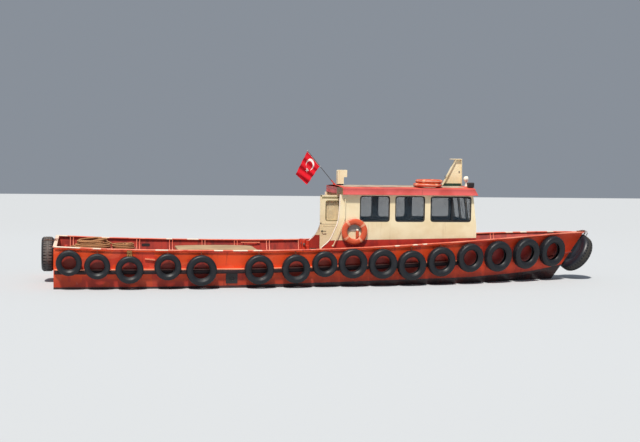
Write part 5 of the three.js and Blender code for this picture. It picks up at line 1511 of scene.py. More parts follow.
# Roof and what stands on it
SKIRT = 0.075
MAST = Sizes(aft_x=3.243, fore_x=3.85, web_top_x=3.657, top_aft_x=3.492, top_fore_x=3.835, top=3.57,
             half=0.012,
             flange=0.07)
LAMP = Sizes(x=3.9, y=-0.3, z=2.985, r=0.082)
HORN_BOX = Sizes(x0=3.795, x1=3.965, y0=-0.88, y1=-0.72, high=0.145)
VENT = Sizes(x0=0.08, x1=0.262, y0=-0.15, y1=0.05, low=2.812, high=3.205, hood_x=0.356, hood_low=3.0)
STAFF = Sizes(foot=(0.073, 0.25, 2.775), head=(-0.757, 0.25, 3.756), r=0.009)
STAFF_WAY = np.subtract(STAFF.head, STAFF.foot) / np.linalg.norm(np.subtract(STAFF.head, STAFF.foot))
STAFF_SIDE = arr((-STAFF_WAY[2], 0, STAFF_WAY[0]))
SOCKET = Sizes(x0=0.02, x1=0.105, y0=0.222, y1=0.278, high=0.045)
FLAG = Sizes(head=0.022, foot=0.59, gap=0.0092, low=(-0.745, 2.755), high=(-1.085, 3.06), columns=31, rows=41,
             flat=(0.574, 0.80), drawn=(0.66, 0.568))
MOON = Sizes(r=0.145, bite=0.116, shift=0.037, u=0.28, v=0.5)
STAR = Sizes(off=0.168, tip=0.075, notch=0.0287)
HANDRAIL = [(0.104, 2.4), (0.099, 1.87), (-0.225, 1.085)]
BUOY = Sizes(x=0.38, z=1.486, outer=0.375, inner=0.205, thick=0.105)
ROOF_BUOYS = [("lower", 2.61, 0.42, 0.235, 0.105), ("upper", 2.65, 0.395, 0.22, 0.105)]
ROOF_BUOY_Y = -0.72
SHADE_DISC_R = 0.185


def roof_z(y):
    a = abs(y) / ROOF.half
    if a < 0.5:
        return lerp(ROOF.ridge, ROOF.quarter, a / 0.5) + SEAT
    return lerp(ROOF.quarter, ROOF.edge, (a - 0.5) / 0.5) + SEAT


def roof_front(y, top):
    """The roof's front edge bows forward towards the middle."""
    a = min(abs(y) / ROOF.half, 1)
    fore = ROOF.front_x + (ROOF.bow if a < 0.3 else ROOF.bow * (1 - (a - 0.3) / 0.7))
    return fore - (ROOF.rake if top else 0)


def make_roof(fascia, top_paint):
    """A cambered top over a deep fascia with a rolled lower edge, hollow underneath."""
    half, inset = ROOF.half, ROOF.inset

    def edge(shrink, top):
        share = (half - shrink) / half
        loop = [(roof_front(y, top) - shrink, y * share) for y in np.linspace(-half, half, 49)]
        return arr(loop + [(inset, half - shrink), (shrink, half - inset), (shrink, -half + inset),
                           (inset, -half + shrink)])

    def level(loop, z):
        return [(x, y, z) for x, y in loop]

    low, crown = ROOF.low + SEAT, ROOF.edge
    middle = level(lerp(edge(0.006, False), edge(0.006, True), 0.5), lerp(low, crown, 0.5))
    lower = [(0.030, 0.004), (0.012, 0.0005), (0.0015, 0.004), (0.0, 0.018), (0.006, 0.034)]
    upper = [(0.006, 0.028), (0.0, 0.016), (0.001, 0.006), (0.010, 0)]
    outside = [level(edge(shrink, False), low + up) for shrink, up in lower] + [middle]
    outside += [level(edge(shrink, True), crown - down) for shrink, down in upper]
    # Underside between fascia and walls, then the cambered top
    under = [level(edge(shrink, False), low + up) for shrink, up in ((0.03, 0.004), (0.2, 0.004), (0.22, 0.1),
                                                                   (0.5, 0.12))]
    shape = Shape(loft(outside, caps=False), loft(under, caps=False),
                  (under[-1], [tuple(range(len(under[-1])))]))
    grid = []
    for y in np.linspace(-half + 0.010, half - 0.010, 41):
        fore, aft = roof_front(y, True) - 0.010, 0.010 + max(0.0, abs(y) - (half - inset))
        grid.append([(lerp(aft, fore, t), y, roof_z(y) - SEAT - 0.002 * (1 - cos(pi * t * 8)) / 2)
                     for t in np.linspace(0, 1, 40)])
    shape.add(sheet(grid), paint=1)
    shape.piece("roof_panel", "roof_red", [fascia, top_paint], "cabin_roof", weld=0.0005, outward=False)


def make_mast(paint, green_paint, metal):
    m, base, under = MAST, ROOF_TOP, MAST.top - 0.01

    def aft(z):
        return lerp(m.aft_x, m.web_top_x, (z - base) / (under - base))

    web = [(m.aft_x, base), (m.fore_x, base), (m.top_fore_x, under), (m.web_top_x + 0.005, under)]
    shape = Shape(plate(web, in_xz, -m.half, m.half))
    for low, high, thick in ((m.aft_x, m.web_top_x, 0.016), (m.fore_x - 0.014, m.top_fore_x - 0.014, 0.014)):
        strip = [(low, base), (high, under), (high + thick, under), (low + thick, base)]
        shape.add(plate(strip, in_xz, -m.flange, m.flange))
    shape.add(block(m.top_aft_x, m.top_fore_x + 0.005, -0.078, 0.078, m.top - 0.022, m.top))
    shape.add(block(m.aft_x - 0.01, m.fore_x + 0.008, -0.11, 0.11, base, base + 0.014, 0.003), paint=1)
    # Low green skirt plates on both faces of the web
    low, high = base + 0.014, base + SKIRT
    skirt = [(m.aft_x + 0.02, low), (m.fore_x - 0.016, low), (m.fore_x - 0.017, high),
             (aft(high) + 0.018, high)]
    for y in (-m.half - 0.004, m.half):
        shape.add(plate(skirt, in_xz, y, y + 0.004), paint=1)
    shape.piece("mast_bracket", "cabin_cream", [paint, green_paint], "mast", sharp=30)
    # Step plate with a shackle eye on the aft flange, a clamp on the fore one, and the foot's bolts
    x = aft(3.03)
    small = Shape(block(x - 0.045, x + 0.002, -0.05, 0.05, 3.022, 3.034, 0.003),
                  hoop(lambda p, q: (x - 0.03 + p, 0, 3.05 + q), 0.018, 0.005, 16),
                  block(3.752, 3.79, -0.03, -0.012, 3.17, 3.21))
    for x in (m.aft_x + 0.06, 3.55, m.fore_x - 0.06):
        for y in (-0.085, 0.085):
            small.add(post(x, y, base + 0.013, base + 0.026, 0.011, 6, 0.002))
    small.piece("mast_fittings", "steel", metal)


def make_searchlight(white_paint, glass, metal):
    """A rounded lamp house facing forward, in a stirrup on a short post."""
    x, y, z, r = LAMP.x, LAMP.y, LAMP.z, LAMP.r
    foot = roof_z(y + 0.06)
    house = [(0.0005, -r)] + [(r * sin(a), -r * cos(a)) for a in np.linspace(0.15, pi * 0.56, 16)]
    house += [(r * 0.985, r * 0.30), (r * 0.985, r * 0.46), (r * 0.93, r * 0.50), (r * 0.90, r * 0.44),
              (0.0005, r * 0.40)]
    lens_line = [(0.0005, r * 0.44), (r * 0.5, r * 0.475), (r * 0.88, r * 0.445), (r * 0.88, r * 0.40),
                 (0.0005, r * 0.40)]
    shape = Shape(lathe(house, 40, (x, y, z), FORWARD)).add(lathe(lens_line, 40, (x, y, z), FORWARD), paint=1)
    collar = [(0.026, 0), (0.036, 0.002), (0.034, 0.03), (0.026, 0.034)]
    shape.add(post(x, y, foot, z - r * 0.95, 0.026, 24, 0.003),
              post(x, y, foot, foot + 0.012, 0.06, 28, 0.003),
              lathe(collar, 24, (x, y, foot + 0.012), caps=False))
    shape.piece("searchlight_lamp", "white_paint", [white_paint, glass], "searchlight", sharp=38)
    # The stirrup stays within the ball's own width
    arms, reach = Shape(), r * 0.995
    for s in (-1, 1):
        arc = [(x, y + s * reach * sin(a), z - reach * cos(a)) for a in np.linspace(0.35, 1.5, 9)]
        arms.add(tube(arc, 0.006, 8), rod((x, y + s * r * 0.90, z), (x, y + s * r, z), 0.013, 14, 0.002))
    arms.piece("searchlight_stirrup", "steel", metal, sharp=40)


def make_horn_box(dark, metal):
    b, z = HORN_BOX, roof_z(HORN_BOX.y1)
    top = z + b.high
    shape = Shape(block(b.x0, b.x1, b.y0, b.y1, z, top, 0.010))
    for k in range(5):
        low = z + 0.03 + 0.02 * k
        shape.add(block(b.x1 - 0.001, b.x1 + 0.003, b.y0 + 0.025, b.y1 - 0.025, low, low + 0.007, 0.001))
    shape.piece("horn_case", "black_paint", dark, "horn_box")
    lid = Shape(block(b.x0 - 0.004, b.x1 + 0.004, b.y0 - 0.004, b.y1 + 0.004, top - 0.018, top - 0.010,
                      0.002))
    for y in (b.y0 + 0.03, b.y1 - 0.03):
        lid.add(block(b.x0 - 0.012, b.x0 + 0.004, y - 0.01, y + 0.01, top - 0.045, top - 0.012, 0.002))
    lid.piece("horn_case_trim", "steel", metal)


def make_ventilator(paint, dark):
    """A square cowl on a short neck, its mouth facing forward with a mesh in it."""
    v, y0, y1, low, high, x = VENT, VENT.y0, VENT.y1, VENT.hood_low, VENT.high, VENT.hood_x
    # Side profile of the cowl, with the back and the top rounded
    profile = rounded([(v.x0, v.low), (v.x1, v.low), (v.x1, low), (x, low), (x, high), (v.x0, high)],
                      [0.004, 0.004, 0.02, 0.004, 0.015, 0.05], 6)
    # Flange round the mouth
    rim = oblong(y0 - 0.005, y1 + 0.005, low - 0.003, high, 0.01, 3)
    mouth = oblong(y0 + 0.016, y1 - 0.016, low + 0.018, high - 0.020, 0.01, 3)
    cowl = Shape(plate(profile, in_xz, y0, y1),
                 block(v.x0 - 0.006, v.x1 + 0.006, y0 - 0.006, y1 + 0.006, v.low - 0.008, v.low + 0.006,
                       0.002),
                 plate(rim, in_yz, x - 0.012, x, [mouth]))
    cowl.piece("ventilator_cowl", "cabin_cream", paint, "ventilator")
    inside = Shape(block(x - 0.0118, x - 0.0095, y0 + 0.014, y1 - 0.014, low + 0.016, high - 0.018, 0.0005))
    for y in np.linspace(y0 + 0.03, y1 - 0.03, 7):
        inside.add(post(x - 0.008, y, low + 0.017, high - 0.019, 0.002, 6))
    for z in np.linspace(low + 0.03, high - 0.03, 7):
        inside.add(rod((x - 0.007, y0 + 0.015, z), (x - 0.007, y1 - 0.015, z), 0.002, 6))
    # Dark foot that the box stands on
    inside.add(block(v.x0 + 0.012, v.x1 - 0.012, y0 + 0.015, y1 - 0.015, ROOF_TOP, v.low),
               block(v.x0, v.x1, y0, y1, ROOF_TOP, ROOF.ridge + 0.008, 0.002))
    inside.piece("ventilator_dark_parts", "black_paint", dark)


def staff_point(back, off):
    return arr(STAFF.head) - STAFF_WAY * back + STAFF_SIDE * off


def make_staff(wood, bracket_paint):
    Shape(rod(STAFF.foot, STAFF.head, STAFF.r, 20, 0.003)).piece("staff_pole", "steel", wood, "flagstaff",
                                                                 sharp=40)
    start, s, low = arr(STAFF.foot) + STAFF_WAY * 0.004, SOCKET, roof_z(SOCKET.y0)
    foot = Shape(block(s.x0, s.x1, s.y0, s.y1, low, low + 0.012, 0.003),
                 block(s.x0 + 0.012, s.x1 - 0.012, s.y0 + 0.014, s.y1 - 0.014, low + 0.01, low + s.high),
                 rod(start, start + STAFF_WAY * 0.16, 0.016, 20, 0.003))
    for y in (s.y0 + 0.008, s.y1 - 0.008):
        for x in (s.x0 + 0.012, s.x1 - 0.012):
            foot.add(post(x, y, low + 0.011, low + 0.018, 0.006, 6))
    foot.piece("staff_bracket", "roof_red", bracket_paint)


def flag_grid():
    """The flag's resting shape: a cloth that falls in soft folds between its four drawn corners."""
    top, low = staff_point(FLAG.head, FLAG.gap), staff_point(FLAG.foot, FLAG.gap)
    far_low, far_top = arr((FLAG.low[0], top[1], FLAG.low[1])), arr((FLAG.high[0], top[1], FLAG.high[1]))
    grid = []
    for v in np.linspace(0, 1, FLAG.rows):
        row = []
        for u in np.linspace(0, 1, FLAG.columns):
            wave = sin(v * 19.5 + u * 2.2) * 0.027 * smooth(0, 0.3, v) + sin(v * 31 + 1 - u * 5) * 0.004 * v
            row.append(lerp(lerp(top, low, u), lerp(far_top, far_low, u), v) + (0, wave, 0))
        grid.append(row)
    return np.array(grid)


def make_flag(cloth, white_cloth):
    """The red cloth, with crescent and star sewn on both of its faces, and its halyard."""
    grid, (wide, high) = flag_grid(), FLAG.drawn
    rows, columns = grid.shape[:2]
    flag = Shape(sheet(grid)).piece("flag_cloth", "flag_cloth", cloth, "flag", sharp=180, outward=False)

    def on_cloth(p, q, off):
        """A point of the sign's own plane, laid on the folded cloth. The sign's middle is the crescent's."""
        u = np.clip((MOON.v * high + q) / high, 0, 1) * (columns - 1)
        v = np.clip((MOON.u * wide + p) / wide, 0, 1) * (rows - 1)
        i, j = min(int(u), columns - 2), min(int(v), rows - 2)
        first, second = (lerp(grid[k, i], grid[k, i + 1], u - i) for k in (j, j + 1))
        n = np.cross(grid[j, i + 1] - grid[j, i], grid[j + 1, i] - grid[j, i])
        return lerp(first, second, v - j) + n / np.linalg.norm(n) * off

    big, small, shift = MOON.r, MOON.bite, MOON.shift
    start = acos((big**2 - small**2 + shift**2) / (2 * big * shift))
    inner_start = pi - acos((small**2 - big**2 + shift**2) / (2 * small * shift))
    outer = [arr((big * cos(a), big * sin(a))) for a in np.linspace(start, 2 * pi - start, 49)]
    inner = [arr((shift + small * cos(a), small * sin(a)))
             for a in np.linspace(inner_start, 2 * pi - inner_start, 49)]
    star, faces = [(0.0, 0.0)], []
    for k in range(10):
        a, r, m = pi + k * pi / 5, STAR.notch if k % 2 else STAR.tip, (k + 1) % 10
        star += [(r * cos(a) * 0.5, r * sin(a) * 0.5), (r * cos(a), r * sin(a))]
        faces += [(0, 1 + 2 * k, 1 + 2 * m), (1 + 2 * k, 2 + 2 * k, 2 + 2 * m, 1 + 2 * m)]
    signs = Shape()
    for off in (-0.0012, 0.0012):
        crescent = [[on_cloth(*lerp(a, b, k), off) for k in (0, 0.33, 0.67, 1)] for a, b in zip(outer, inner)]
        signs.add(sheet(crescent), ([on_cloth(STAR.off + p, q, off) for p, q in star], faces))
    badge = signs.piece("flag_signs", "flag_cloth", white_cloth, sharp=180, outward=False)
    # Hoist rope with two knots on the staff
    hoist = Shape(tube([staff_point(back, 0.0125) for back in np.linspace(0.0, 0.62, 20)], 0.003, 8))
    for back in (0.010, 0.605):
        for turn in (-0.5, 0.5):
            centre = staff_point(back, 0.0) + STAFF_WAY * turn * 0.007
            hoist.add(hoop(lambda p, q: centre + STAFF_SIDE * p + (0, q, 0), 0.0118, 0.0032, 18))
    hoist.piece("flag_halyard", "rope", white_cloth, sharp=50)


def make_handrails(paint):
    wall, y = CABIN.half + SEAT, CABIN.half + 0.062
    for sign, side_name in SIDES:
        a, b, c = [arr((x, y, z)) for x, z in HANDRAIL]
        first, second = b + (a - b) * 0.10, b + (c - b) * 0.08
        bend = [(1 - t) ** 2 * first + 2 * t * (1 - t) * b + t * t * second for t in np.linspace(0, 1, 9)]
        path = arr([a, lerp(a, first, 0.5), *bend, lerp(second, c, 0.5), c]) * (1, sign, 1)
        shape = Shape(tube(path, 0.012, 18))
        for x, z in HANDRAIL:
            foot = (x, sign * wall, z)
            shape.add(rod(foot, (x, sign * y, z), 0.010, 16),
                      rod(foot, (x, sign * (CABIN.half + 0.007), z), 0.028, 20, 0.002))
        shape.piece("handrail_bar_" + side_name, "cabin_cream", paint, "handrail_" + side_name, sharp=40)


def buoy(place_name, centre, axis, outer, inner, thick, shell, wraps, line, start):
    """A ring buoy: plump section, four wrapped bands and a grab line held under them."""
    mid, wide = (outer + inner) / 2, (outer - inner) / 2
    profile = []
    for a in 2 * np.pi * (np.arange(28) + 0.5) / 28:
        profile.append((mid + wide * np.sign(cos(a)) * abs(cos(a)) ** 0.85,
                        thick / 2 * np.sign(sin(a)) * abs(sin(a)) ** 0.85))
    shape, turn = Shape(lathe(profile, 96, centre, axis, caps=False)), turned_to(axis)

    def at(radius, angle, along):
        return arr(centre) + turn @ arr((radius * cos(angle), radius * sin(angle), along))

    grown = [(mid + (r - mid) * 1.012 + (0.0008 if r > mid else -0.0008), z * 1.02) for r, z in profile]
    tucked = [(mid + (r - mid) * 0.98, z * 0.98) for r, z in profile]
    for k in range(4):
        turns = start + k * pi / 2 + np.linspace(-0.105, 0.105, 7)
        sections = [(turns[0], tucked), *((a, grown) for a in turns), (turns[-1], tucked)]
        shape.add(loft([[at(r, a, z) for r, z in section] for a, section in sections], caps=False), paint=1)
    name = "ring_buoy_" + place_name
    shape.piece(name, "lifebuoy_orange", [shell, wraps], "lifebuoy_" + place_name, sharp=55)
    path = [at(outer - 0.004, start + t, thick * 0.02 + 0.010 * sin((t % (pi / 2)) / (pi / 2) * pi))
            for t in around(96)]
    Shape(tube(path, 0.0045, 8, loop=True)).piece(name + "_grab_line", "rope", line, sharp=60)


def make_buoys(shell, wraps, line, paint, white_paint, shade_disc_paint):
    b, wall = BUOY, -CABIN.half
    buoy("side", (b.x, wall - SEAT - b.thick / 2, b.z), (0, -1, 0), b.outer, b.inner, b.thick, shell, wraps,
         line,
         radians(38))
    _, _, outer, inner, _ = ROOF_BUOYS[0]
    z = roof_z(ROOF_BUOY_Y + (outer + inner) / 2 + (outer - inner) / 2 * tan(pi / 8))
    for k, (name, x, outer, inner, thick) in enumerate(ROOF_BUOYS):
        buoy("roof_" + name, (x, ROOF_BUOY_Y, z + thick / 2), UP, outer, inner, thick, shell, wraps, line,
             0.4 + k * 0.5)
        z += thick + SEAT
    # Holder hooks, backing plate and the small light canister inside the side buoy, and a grey half disc that
    # is the buoy's shadow on the wall, painted
    holder_and_shade = Shape()
    for x in (b.x - 0.15, b.x + 0.15):
        holder_and_shade.add(tube([(x, wall, b.z - 0.245), (x, wall - 0.03, b.z - 0.25), (x, wall - 0.05, b.z - 0.235)],
                        0.005, 8))
    x, y = b.x + 0.085, wall - 0.048
    holder_and_shade.add(post(x, y, b.z - 0.17, b.z + 0.02, 0.044, 24, 0.006), paint=1)
    holder_and_shade.add(post(x, y, b.z + 0.02, b.z + 0.075, 0.034, 24, 0.014), paint=2)
    holder_and_shade.add(block(x - 0.03, x + 0.03, wall - 0.012, wall - 0.0003, b.z - 0.12, b.z - 0.03, 0.002))
    # Grey half disc in the ring's upper half: painted shade of the buoy on the wall
    arc = [(b.x + SHADE_DISC_R * cos(a), b.z + 0.02 + SHADE_DISC_R * sin(a)) for a in np.linspace(0, pi, 25)]
    holder_and_shade.add(plate(arc, in_xz, wall - 0.014, wall - 0.003), paint=3)
    holder_and_shade.piece("buoy_holder", "steel", [paint, shell, white_paint, shade_disc_paint])


# Gear under the hull
RUDDER = Sizes(x=-7.15, stock=0.035, fore_x=-6.95, aft_x=-7.62, low=-0.96, high=-0.43, boss=-0.4, heel=-0.98)
RUDDER_SECTION = [(0.0, 0.25), (0.02, 0.55), (0.06, 0.82), (0.14, 1.0), (0.3, 0.98), (0.5, 0.72),
                  (0.75, 0.42),
                  (1.0, 0.18)]
SHAFT = Sizes(z=-0.68, hub_from=-6.59, hub_to=-6.8)
PROPELLER = Sizes(r=0.28, hub=0.068, blades=3)


def make_rudder(paint):
    """A thick section rounded at the front and thin at the back, with two strap plates on the stock."""
    rings = []
    for z in np.linspace(RUDDER.low, RUDDER.high, 9):
        cut = 1 - smooth(RUDDER.low, RUDDER.low + 0.10, z)
        fore, aft = RUDDER.fore_x - 0.02 * cut, RUDDER.aft_x + 0.03 * cut
        left = [(lerp(fore, aft, t), 0.028 * h, z) for t, h in RUDDER_SECTION]
        rings.append(left + [(x, -y, z) for x, y, z in reversed(left)])
    shape = Shape(loft(rings),
                  post(RUDDER.x, 0, RUDDER.heel + SEAT, RUDDER.boss - SEAT, RUDDER.stock, 28, 0.004))
    for z in (-0.90, -0.52):
        shape.add(block(RUDDER.x - 0.22, RUDDER.x + 0.10, -0.0295, 0.0295, z - 0.025, z + 0.025))
    shape.piece("rudder_blade", "keel_red", paint, "rudder", body="rudder")


def make_propeller(metal):
    """Three twisted blades: chord, pitch and thickness change along each blade."""
    x0, z0, hub = SHAFT.hub_from, SHAFT.z, PROPELLER.hub
    middle = (x0 + SHAFT.hub_to) / 2
    profile = [(0.0005, 0), (hub * 0.9, 0), (hub, 0.01), (hub, 0.14), (hub * 0.92, 0.165), (hub * 0.7, 0.190),
               (hub * 0.42, 0.205), (0.0005, 0.2095)]
    shape = Shape(lathe(profile, 40, (x0, 0, z0), (-1, 0, 0)))
    rings = []
    for t in np.linspace(0, 1, 15):
        r, pitch, thick = lerp(0.052, PROPELLER.r - 0.002, t), radians(lerp(62, 32, t)), lerp(0.016, 0.004, t)
        chord = lerp(0.085, 0.205, smooth(0, 0.6, t)) * sqrt(max(0.02, 1 - max(0, (t - 0.55) / 0.45) ** 2.4))
        ring = []
        for a in around(20):
            swept = chord / 2 * cos(a) + 0.018 * t * t
            d = thick / 2 * sin(a) * (1 + 0.25 * cos(a))
            ring.append((swept * sin(pitch) + d * cos(pitch) - 0.012 * t, swept * cos(pitch) - d * sin(pitch),
                         r))
        rings.append(ring)
    verts, faces = loft(rings)
    x, y, z = verts.T
    for b in range(PROPELLER.blades):
        turn = 2 * pi * b / PROPELLER.blades + pi / 2
        c, s = cos(turn), sin(turn)
        shape.add((np.stack([x + middle, y * c - z * s, y * s + z * c + z0], axis=1), faces))
    shape.piece("propeller_blades", "bronze", metal, "propeller", sharp=40, body="propeller")


# Deck gear
BITTS = [("tow", -0.9, 0.19, 1.19, 0.062), ("fore", 5.7, 0.15, 1.13, 0.055),
         ("stern", -7.6, 0.15, 1.01, 0.045)]
HOOK = Sizes(x=-0.9, z=0.96)
HATCH = Sizes(x0=-4.5, x1=-2.32, half=0.72, wall=0.05, top=0.9, axis_z=0.902, axis_x=-2.262, r=0.014,
              hinges=(-0.45, 0.45), knuckle=0.07)
LID = Sizes(aft=HATCH.x0 - 0.025, fore=HATCH.x1 + 0.025, half=HATCH.half + 0.025, low=HATCH.top + 0.005,
            lip=0.03,
            crown=0.075, columns=93, rows=67, skirt=4, flat=(1.55, 2.30))
LID_CURVE = [(0, 0), (0.05, 0.42), (0.16, 0.74), (0.32, 0.94), (0.5, 1), (0.68, 0.94), (0.84, 0.74),
             (0.95, 0.42),
             (1, 0)]
FORE_HATCH = Sizes(x0=4.43, x1=5.07, half=0.32, wall=0.04, top=0.83, axis_z=0.834, axis_x=4.38, r=0.012,
                   hinges=(-0.2, 0.2), knuckle=0.05)
FORE_LID = Sizes(over=0.015, low=FORE_HATCH.top + 0.005, thick=0.03)
TRUNK = Sizes(x0=-7.44, x1=-5.65, y0=-0.72, y1=0.41, top=TRUNK_TOP)
ENGINE = Sizes(x0=-3.98, x1=-2.78, low=ENGINE_ROOM.floor + SEAT, top=0.54)


def make_bitts(paint, worn_steel):
    """Two posts with domed caps and a horn bar through them, on a base plate, with weld beads."""
    base = DECK_SEAT
    for name, x, half, top, r in BITTS:
        shape, tall = Shape(), top - base
        profile = [(0.0005, 0.004), (r * 0.98, 0.004), (r, 0.02), (r, tall - 0.024), (r, tall - 0.014),
                   (r * 0.95, tall - 0.005), (r * 0.80, tall - 0.001), (0.0005, tall)]
        for y in (-half, half):
            shape.add(lathe(profile, 40, (x, y, base)),
                      hoop(lambda p, q: (x + p, y + q, base + 0.018), r + 0.004, 0.006, 36))
        bar = rod((x, -half - 0.09, top - 0.13), (x, half + 0.09, top - 0.13), 0.55 * r, 28, 0.005)
        shape.add(bar, paint=1)
        shape.add(block(x - r - 0.03, x + r + 0.03, -half - r - 0.04, half + r + 0.04, base, base + 0.016,
                        0.003))
        shape.piece(name + "_posts", "hull_red", [paint, worn_steel], name + "_bitt", sharp=38)


def make_hook(red, metal, dark):
    """A tow hook on a swivel block, with its shank, pin and bolts."""
    x, z = HOOK.x, HOOK.z
    shape = Shape(block(x + 0.0925, x + 0.25, -0.09, 0.09, DECK_SEAT, z - 0.05, 0.006),
                  block(x + 0.0623, x + 0.19, -0.06, 0.06, z - 0.06, z + 0.06, 0.010),
                  post(x + 0.15, 0, z, z + 0.19, 0.055, 32, 0.008))
    shank = oblong(x + 0.12, x + 0.42, z - 0.11, z - 0.03, [0.004, 0.035, 0.035, 0.004], 6)
    shape.add(plate(shank, in_xz, -0.022, 0.022), paint=1)
    shape.piece("tow_hook_block", "steel", [red, dark], "tow_hook")
    pins = Shape(rod((x + 0.36, -0.03, z - 0.07), (x + 0.36, 0.03, z - 0.07), 0.013, 20, 0.002),
                 post(x + 0.15, 0, z + 0.188, z + 0.20, 0.028, 6, 0.003))
    for y in (-0.075, 0.075):
        for bolt_x in (x + 0.115, x + 0.228):
            pins.add(post(bolt_x, y, z - 0.052, z - 0.040, 0.010, 6, 0.002))
    pins.piece("tow_hook_pins", "steel", metal)


def hinge(h, edge_x, fixed):
    parts = []
    for y in h.hinges:
        away = -1 if y < 0 else 1
        ends = (-h.knuckle, -SEAT / 2) if fixed else (SEAT / 2, h.knuckle)
        y0, y1 = sorted(y + away * end for end in ends)
        arm = h.axis_z - h.r if fixed else h.axis_z + h.r - 0.008
        parts += [rod((h.axis_x, y0, h.axis_z), (h.axis_x, y1, h.axis_z), h.r, 20, 0.002),
                  block(h.axis_x, edge_x, y0, y1, arm, arm + 0.008, 0.001)]
    return parts


def coaming(h):
    """A plate frame on the deck with rounded corners."""
    w = h.wall
    hole = oblong(h.x0 + w, h.x1 - w, -h.half + w, h.half - w, 0.012, 4)
    return plate(oblong(h.x0, h.x1, -h.half, h.half, 0.03, 5), in_xy, DECK_SEAT, h.top, [hole])


def make_hatches(red, lid_paint, metal):
    h = HATCH
    shape = Shape(coaming(h), *hinge(h, h.x1 - 0.01, True))
    # Stiffeners up the coaming's sides
    for x in np.linspace(h.x0 + 0.2, h.x1 - 0.2, 5):
        for s in (-1, 1):
            shape.add(block(x - 0.02, x + 0.02, s * h.half, s * (h.half + 0.012), DECK_Z + 0.002,
                            h.top - 0.05, 0.002))
    shape.piece("engine_coaming", "deck_red", red, "engine_hatch_coaming")
    h, low, top = FORE_HATCH, FORE_LID.low, FORE_LID.low + FORE_LID.thick
    Shape(coaming(h), *hinge(h, h.x0 + 0.01, True)).piece("fore_coaming", "deck_red", red,
                                                          "fore_hatch_coaming")
    x0, x1, half = h.x0 - FORE_LID.over, h.x1 + FORE_LID.over, h.half + FORE_LID.over
    inset = oblong(x0 + 0.03, x1 - 0.03, -half + 0.03, half - 0.03, 0.03, 5)
    lid = Shape(plate(oblong(x0, x1, -half, half, 0.03, 5), in_xy, low, top - 0.004),
                plate(inset, in_xy, top - 0.005, top), *hinge(h, x0 + 0.008, False))
    lid.piece("fore_lid", "deck_red", lid_paint, "fore_hatch_lid", body="fore_hatch_lid")
    # Dogs at the fore hatch's forward edge
    dogs = Shape()
    for y in (-0.2, 0.2):
        dogs.add(block(x1 - 0.06, x1 - 0.001, y - 0.014, y + 0.014, top - 0.003, top + 0.010, 0.003),
                 post(x1 - 0.03, y, low + 0.02, low + 0.058, 0.008, 6, 0.002))
    dogs.piece("fore_lid_dogs", "steel", metal, body="fore_hatch_lid")


def lid_top(x, y):
    """The domed top of the engine hatch lid."""
    lip = LID.low + LID.lip
    rise = float(np.interp((x - LID.aft) / (LID.fore - LID.aft), *zip(*LID_CURVE)))
    top = lip + (LID.crown - LID.lip) * rise
    shoulder = lerp(lip, top, 0.55)
    heights = [top, top, lerp(shoulder, top, 0.75), shoulder]
    return float(np.interp(abs(y), [0, 0.06, LID.half * 0.72, LID.half], heights))


def make_lid(frame_paint, cloth):
    """A canvas cover drawn down over the domed lid, creased between the ribs underneath."""
    aft, fore, half, low, skirt = LID.aft, LID.fore, LID.half, LID.low, LID.skirt
    # The frame of the lid: a rim, and the moving knuckles
    rim = oblong(aft + 0.004, fore - 0.004, -half + 0.004, half - 0.004, 0.02, 4)
    frame_piece = Shape(plate(rim, in_xy, low, low + 0.024), *hinge(HATCH, fore - 0.008, False))
    frame_piece.piece("engine_lid_frame", "deck_red", frame_paint, "engine_hatch_lid",
                      body="engine_hatch_lid")

    def along(i, count):
        """How far a row lies along the top, how far down the skirt, and on which side it hangs."""
        out = max(0, -i, i - count + 1) / skirt
        return np.clip(i / (count - 1), 0, 1), out, -1 if i < 0 else 1 if out else 0

    def gather(t, x, y, seed):
        return 0.0035 * sin(t * 46 + 2 * noise.noise(Vector((x * 2, y * 2, seed))))

    grid = []
    for i in range(-skirt, LID.columns + skirt):
        u, out_i, side_i = along(i, LID.columns)
        row = []
        for j in range(-skirt, LID.rows + skirt):
            v, out_j, side_j = along(j, LID.rows)
            out = max(out_i, out_j)
            x, y = lerp(aft, fore, u), lerp(-half, half, v)
            z = lerp(lid_top(x, y), low - 0.012, out)
            ripple = 0.0045 * noise.noise(Vector((x * 3.1, y * 2.2, 0.3)))
            ripple += 0.0025 * noise.noise(Vector((x * 9, y * 7, 4.0)))
            sag = 0.006 * abs(sin(pi * u * 4)) * sin(pi * v)
            row.append((x + side_i * (0.006 * out_i + gather(y, x, y, 6) * out),
                        y + side_j * (0.006 * out_j + gather(x, x, y, 1) * out),
                        z + (ripple - sag) * (1 - out)))
        grid.append(row)
    cover = Shape(sheet(grid)).piece("engine_lid_cover", "canvas", cloth, sharp=180, body="engine_hatch_lid",
                                     outward=False)


def make_trunk(paint, metal):
    t = TRUNK
    shape = Shape(block(t.x0, t.x1, t.y0, t.y1, DECK_SEAT, t.top, 0.010))
    for x in np.linspace(t.x0 + 0.25, t.x1 - 0.25, 4):
        shape.add(block(x - 0.004, x + 0.004, t.y0 - 0.006, t.y0 + 0.002, DECK_Z + 0.01, t.top - 0.04, 0.001))
    shape.piece("trunk_case", "deck_red", paint, "steering_trunk")
    handles = Shape()
    for x in (-5.95, -7.1):
        handles.add(tube([(x + p, t.y0 - q, 0.80) for p, q in ((-0.05, 0.001), (-0.05, 0.022), (0.05, 0.022),
                                                              (0.05, 0.001))], 0.005, 8))
    handles.piece("trunk_handles", "steel", metal)


